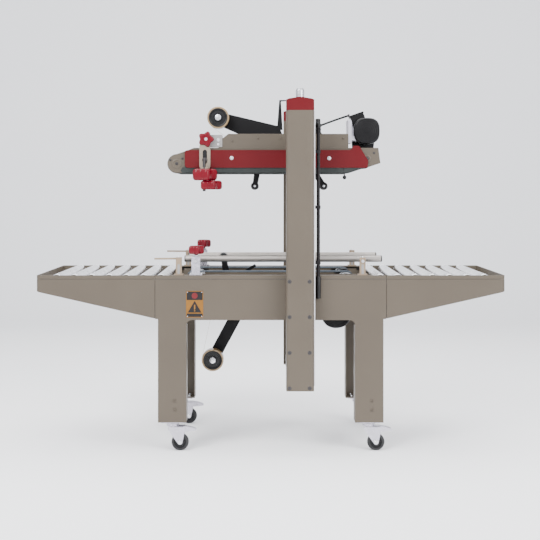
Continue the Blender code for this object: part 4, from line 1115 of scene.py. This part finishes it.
def roller_arm(node):
    """A pair of arm plates with lightening holes, a pivot tube and a grooved rubber roller."""
    pivot, free = ARMS[node]
    form = Form()
    outline = wrap(((*pivot, 0.013), (*free, 0.010)), steps=48)
    middle = ((pivot[0] + free[0]) / 2, (pivot[1] + free[1]) / 2)
    hole = round_hole(outline, middle, 0.0055)
    for side in BOTH:
        form.plate(outline, hole, "Y", side * 0.0275, side * 0.0315)
        form.bolt("Y", pivot, side * 0.0315, side, 0.0036, 2)
        form.bolt("Y", free, side * 0.0315, side, 0.0034, 2)
    form.rod("Y", pivot, -0.029, 0.029, 0.0090, 32, 0)
    profile = [(-0.0270, 0.0130), (-0.0262, 0.0155), (-0.0255, 0.0160)]
    for groove in range(9):
        start = -0.0215 + groove * 0.0050
        profile += [(start, 0.0160), (start + 0.0004, 0.0152), (start + 0.0014, 0.0152),
                    (start + 0.0018, 0.0160)]
    profile += [(0.0255, 0.0160), (0.0262, 0.0155), (0.0270, 0.0130)]
    form.turned("Y", free, profile, 40, 1)
    replace_node(node, form, [TAPE_HEAD_PAINT, ROLLER_RUBBER, BOLT_BRIGHT], node, 0,
                 (pivot[0], 0, pivot[1]))


def tape_head_fittings(label, body, pins, roll, springs):
    """Pin screws, the roll's axle nut and tension springs of one tape head."""
    form = Form()
    for side in BOTH:
        for pin in pins:
            form.bolt("Y", pin, side * 0.040, side, 0.0040, 0)
    form.turned("Y", roll, [(-0.0290, 0.0080), (-0.0290, 0.0105, 6), (-0.0345, 0.0105, 6),
                            (-0.0352, 0.0090)], 24, 0)
    form.bolt("Y", roll, -0.0350, -1, 0.0046, 0, False)
    for start, end in springs:
        form.coil((start[0], 0.0, start[1]), (end[0], 0.0, end[1]), 0.0042, 0.0009, 16, 1)
    finish_piece(f"{label}_tape_fasteners", form, [BOLT_BRIGHT, ZINC], body, ())


def tape_web(name, body, line):
    """The free stretch of tape from the roll to the head's first pin."""
    form = Form()
    back = [(x + 0.0003, z + 0.0002) for x, z in line[::-1]]
    form.prism(line + back, "Y", -TAPE_WEB_HALF, TAPE_WEB_HALF)
    finish_piece(name, form, [TAPE_FACE], body, ())


# Column, cables and the switch

def column_fittings():
    """Socket bolts down the column faces, and white strips along their edges: painted highlights."""
    form = Form()
    for side in BOTH:
        for x in COLUMN_BOLT_X:
            for z in COLUMN_BOLT_Z:
                face = side * COLUMN_Y
                head = [(-0.001, 0.0076), (0.0004, 0.0076), (0.0009, 0.0066), (0.0009, 0.0036, 6),
                        (0.0002, 0.0034, 6)]
                form.turned("Y", (x, z), [(face + side * ring[0], *ring[1:]) for ring in head], 24, 0)
    finish_piece("column_bolts", form, [DARK_BOLT_AND_SHADE], "bed", ())
    # White strips standing proud of each column's edge: a painted highlight along the edge.
    highlight = Form()
    for side in BOTH:
        edge = COLUMN_X + COLUMN_HALF
        low, high = span(side, 0.340, 0.366)
        highlight.box((edge, low, 0.262), (edge + 0.0036, high, 1.290))
        low, high = span(side, 0.344, 0.362)
        highlight.box((edge + 0.0036, low, 0.266), (edge + 0.0042, high, 1.286))
    finish_piece("column_edge_highlight", highlight, [WHITE_MARK_AND_HIGHLIGHT], "bed", (), 0.0005)


def lead_screw(side, label):
    """A trapezoidal screw; the front one ends in a knurled hub over the cap."""
    form = Form()
    node = "lead_screw_" + label
    centre = (COLUMN_X, side * SCREW_Y)
    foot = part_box(node)[0].z
    form.turned("Z", centre, [(foot, 0.0190), (foot + 0.0010, 0.0200), (foot + 0.0060, 0.0200),
                              (foot + 0.0070, 0.0190)], 40)
    steps = 5
    start = foot + 0.007
    count = int((SCREW_TOP - start) / SCREW_PITCH * steps)
    sides = 20
    rings = []
    for index in range(count + 1):
        z = start + index * SCREW_PITCH / steps
        ring = []
        for step in range(sides):
            phase = (index / steps - step / sides) % 1.0
            reach = 0.0080 if phase < 0.42 else 0.0068
            angle = tau * step / sides
            ring.append((*polar(centre, reach, angle), z))
        rings.append(ring)
    form.skin(rings)
    if side < 0:
        hub = CAP_TOP + 0.0005
        form.rod("Z", centre, SCREW_TOP - 0.001, hub + 0.002, 0.0078, 32)
        knurl = []
        for along, radius in ((0.0, 0.0150), (0.0010, 0.0160), (0.0050, 0.0160), (0.0060, 0.0148),
                              (0.0075, 0.0148), (0.0085, 0.0157),
                              (0.0240, 0.0157), (0.0255, 0.0148), (0.0270, 0.0148), (0.0285, 0.0140),
                              (0.0328, 0.0120), (0.0328, 0.0052),
                              (0.0240, 0.0050)):
            ridges = 0.0003 if 0.0080 < along < 0.0245 and radius > 0.0150 else 0.0
            knurl.append([(*polar(centre, radius + ridges * (step % 2), tau * step / 72), hub + along)
                          for step in range(72)])
        form.skin(knurl)
    replace_node(node, form, [TURNED], node, 0, (*centre, foot))


def conduit():
    """Corrugated conduit down the column, with a sleeve, end glands and saddle clips."""
    form = Form()
    x, y = CONDUIT
    low, high = 0.588, 1.248
    points, radii = [], []
    for step in range(int((high - low) / CONDUIT_PITCH * 4)):
        points.append((x, y, low + step * CONDUIT_PITCH / 4))
        radii.append((0.0070, 0.0070, 0.0062, 0.0062)[step % 4])
    form.sweep(points, radii, 20)
    replace_node("conduit", form, [CONDUIT_PLASTIC], "bed", 0, sharp=50)
    fittings = Form()
    fittings.turned("Z", (x, y), [(0.584, 0.0075), (0.5845, 0.0092), (0.588, 0.0095), (0.664, 0.0095),
                                  (0.6665, 0.0088), (0.667, 0.0072)], 32)
    fittings.turned("Z", (x, y), [(1.2300, 0.0074), (1.2305, 0.0100, 6), (1.2400, 0.0100, 6),
                                  (1.2405, 0.0088), (1.2480, 0.0086),
                                  (1.2485, 0.0050)], 24)
    column_side = COLUMN_X + COLUMN_HALF
    for z in CLIP_HEIGHTS:
        band = arc(CONDUIT, 0.0078, -90, 90, 12) + arc(CONDUIT, 0.0092, 90, -90, 12)
        fittings.prism(band, "Z", z - 0.006, z + 0.006, 1)
        for near, far in ((-0.0092, -0.0078), (0.0078, 0.0092)):
            fittings.box((column_side, y + near, z - 0.006), (x, y + far, z + 0.006), 1)
    finish_piece("conduit_fittings", fittings, [BLACK_PLASTIC, CONDUIT_PLASTIC], "bed", (),
                 0.0003)


def motor_lead():
    """The motor's lead, with a gland at the terminal box and a nut at the boot."""
    form = Form()
    points = [Vector(point) for point in LEAD_ROUTE]
    padded = [2 * points[0] - points[1]] + points + [2 * points[-1] - points[-2]]
    smooth = []
    for index in range(1, len(padded) - 2):
        before, start, end, after = padded[index - 1:index + 3]
        for step in range(6):
            t = step / 6
            curve = 2 * start + (end - before) * t
            curve += (2 * before - 5 * start + 4 * end - after) * t ** 2
            curve += (3 * start - before - 3 * end + after) * t ** 3
            smooth.append(curve / 2)
    form.sweep(smooth + [points[-1]], 0.0040, 20)
    form.sweep(smooth[:3], [0.0068, 0.0068, 0.0052], 20, 0)
    form.sweep(smooth[-2:] + [points[-1]], [0.0050, 0.0058, 0.0058], 20, 0)
    replace_node("motor_lead", form, [BLACK_PLASTIC], "upper_head", 0, sharp=50)


def control_fittings():
    """The lid, screws and gland nut of the switch box, and its turning switch."""
    back = SWITCH_BOX_FACE
    form = Form()
    form.prism(rounded((-0.2965, 0.5235), (-0.1535, 0.6515), 0.006), "Y", back, back + 0.0010)
    for x in (-0.290, -0.160):
        for z in (0.530, 0.645):
            form.bolt("Y", (x, z), back + 0.0010, 1, 0.0034, 1)
    form.turned("Y", (-0.178, 0.605), [(back + 0.001, 0.0095), (back + 0.0045, 0.0092),
                                       (back + 0.0060, 0.0078), (back + 0.0060, 0.0040)], 36, 2)
    form.turned("Z", (-0.190, 0.334), [(0.520, 0.0125, 6), (0.512, 0.0125, 6), (0.511, 0.0108),
                                       (0.501, 0.0104), (0.4985, 0.0085),
                                       (0.4985, 0.0045), (0.506, 0.0040)], 24, 2)
    finish_piece("control_box_fittings", form, [FRAME_PAINT, BOLT_BRIGHT, BLACK_PLASTIC], "bed", (),
                 0.0003)
    switch = Form()
    switch.turned("Y", SWITCH, [(0.3693, 0.0195), (0.3700, 0.0200), (0.3712, 0.0198), (0.3718, 0.0182),
                                (0.3718, 0.0060)], 56)
    switch.prism(rounded((SWITCH[0] - 0.005, 0.588), (SWITCH[0] + 0.005, 0.622), 0.0035), "Y", 0.3715,
                 0.3795)
    switch.box((SWITCH[0] - 0.0008, 0.3794, 0.609), (SWITCH[0] + 0.0008, 0.3797, 0.620), 1)
    replace_node("power_switch", switch, [RED_KNOB, WHITE_MARK_AND_HIGHLIGHT], "power_switch", 0.0005,
                 (SWITCH[0], 0.3685, SWITCH[1]))


# Stage

def stage_floor():
    """A pale floor that curves up into a backdrop."""
    front, start, bend, rise, reach = -7.0, 4.0, 3.0, 9.0, 14.0
    path = [(front, 0.0), (start, 0.0)]
    path += arc((start, bend), bend, -84, 0, 14) + [(start + bend, rise)]
    form = Form()
    form.prism(path + [(y, z - 0.05) for y, z in path[::-1]], "X", -reach, reach)
    look = Look("studio_floor")
    tint = look.mix(look.spread(look.noise(0.8), 0.0, 1.0), (0.93, 0.93, 0.94), (0.95, 0.95, 0.95))
    finish = look.done(tint, look.spread(look.noise(3.0), 0.7, 0.8), look.noise(60), 0.02)
    make_object("studio_floor", form, [finish], sharp=180)


def stage_light(name, place, aim, size, power):
    lamp = bpy.data.lights.new(name, "AREA")
    lamp.shape = "RECTANGLE"
    lamp.size, lamp.size_y = size
    lamp.energy = power
    holder = bpy.data.objects.new(name, lamp)
    holder.location = place
    holder.rotation_euler = (Vector(aim) - Vector(place)).to_track_quat("-Z", "Y").to_euler()
    bpy.context.scene.collection.objects.link(holder)


def stage_camera():
    camera = bpy.data.cameras.new("camera")
    camera.lens = CAMERA_LENS
    camera.sensor_width = 36.0
    camera.shift_x, camera.shift_y = CAMERA_SHIFT
    holder = bpy.data.objects.new("camera", camera)
    holder.location = CAMERA_PLACE
    holder.rotation_euler = (radians(90), 0, 0)
    bpy.context.scene.collection.objects.link(holder)
    bpy.context.scene.camera = holder


def stage_world():
    """Even light from all round."""
    scene = bpy.context.scene
    scene.world = scene.world or bpy.data.worlds.new("studio")
    scene.world.use_nodes = True
    background = scene.world.node_tree.nodes["Background"]
    background.inputs["Color"].default_value = WORLD_TINT
    background.inputs["Strength"].default_value = WORLD_STRENGTH


def build():
    for side, label in SIDES:
        side_panel(side, label)
        guide_fittings(side, label)
        guide_rail(side, label)
        belt(f"lower_belt_{label}", "bed", LOWER_LOOP, side, BELT_BLUE)
        belt(f"upper_belt_{label}", "upper_head", UPPER_LOOP, side, DARK_BELT_AND_SHADE)
        belt_cover(side, label)
        lead_screw(side, label)
    for end, label in ENDS:
        table_frame(end, label)
        for index in range(1, ROLLER_COUNT + 1):
            roller(f"{label}_roller_{index}")
        for _, side_label in SIDES:
            caster(f"{label}_{side_label}")
    for node, (radius, shaft) in PULLEYS.items():
        pulley_shaft(node, radius, shaft)
    upper_drive()
    lower_drive()
    adjuster()
    head_fittings()
    tape_roll("upper_tape_roll", UPPER_ROLL)
    tape_roll("lower_tape_roll", LOWER_ROLL)
    for node in ARMS:
        roller_arm(node)
    tape_head_fittings("upper", "upper_head", UPPER_PINS, UPPER_ROLL, UPPER_SPRINGS)
    tape_head_fittings("lower", "bed", LOWER_PINS, LOWER_ROLL, LOWER_SPRINGS)
    upper_turn = arc(UPPER_PINS[0], 0.0054, 216, 300, 5)
    lower_turn = arc(LOWER_PINS[0], 0.0054, 180, 60, 7)
    tape_web("upper_tape_web", "upper_head", [(-0.2370, 1.2512), (-0.0945, 1.1468), *upper_turn])
    tape_web("lower_tape_web", "bed", [(-0.2765, 0.3160), (-0.2203, 0.5800), *lower_turn])
    column_fittings()
    conduit()
    motor_lead()
    control_fittings()
    label_plate()
    for name in ("mast_frame", "head_frame", "bed_subframe", "control_box"):
        keep_node(name, FRAME_PAINT)
    for name in ("column_cap_front", "column_cap_rear"):
        keep_node(name, RED_PAINT, 0.0014)
    for name in ("upper_tape_frame", "lower_tape_frame"):
        keep_node(name, TAPE_HEAD_PAINT)


build()
stage_floor()
stage_camera()
for light in LIGHTS:
    stage_light(*light)
stage_world()
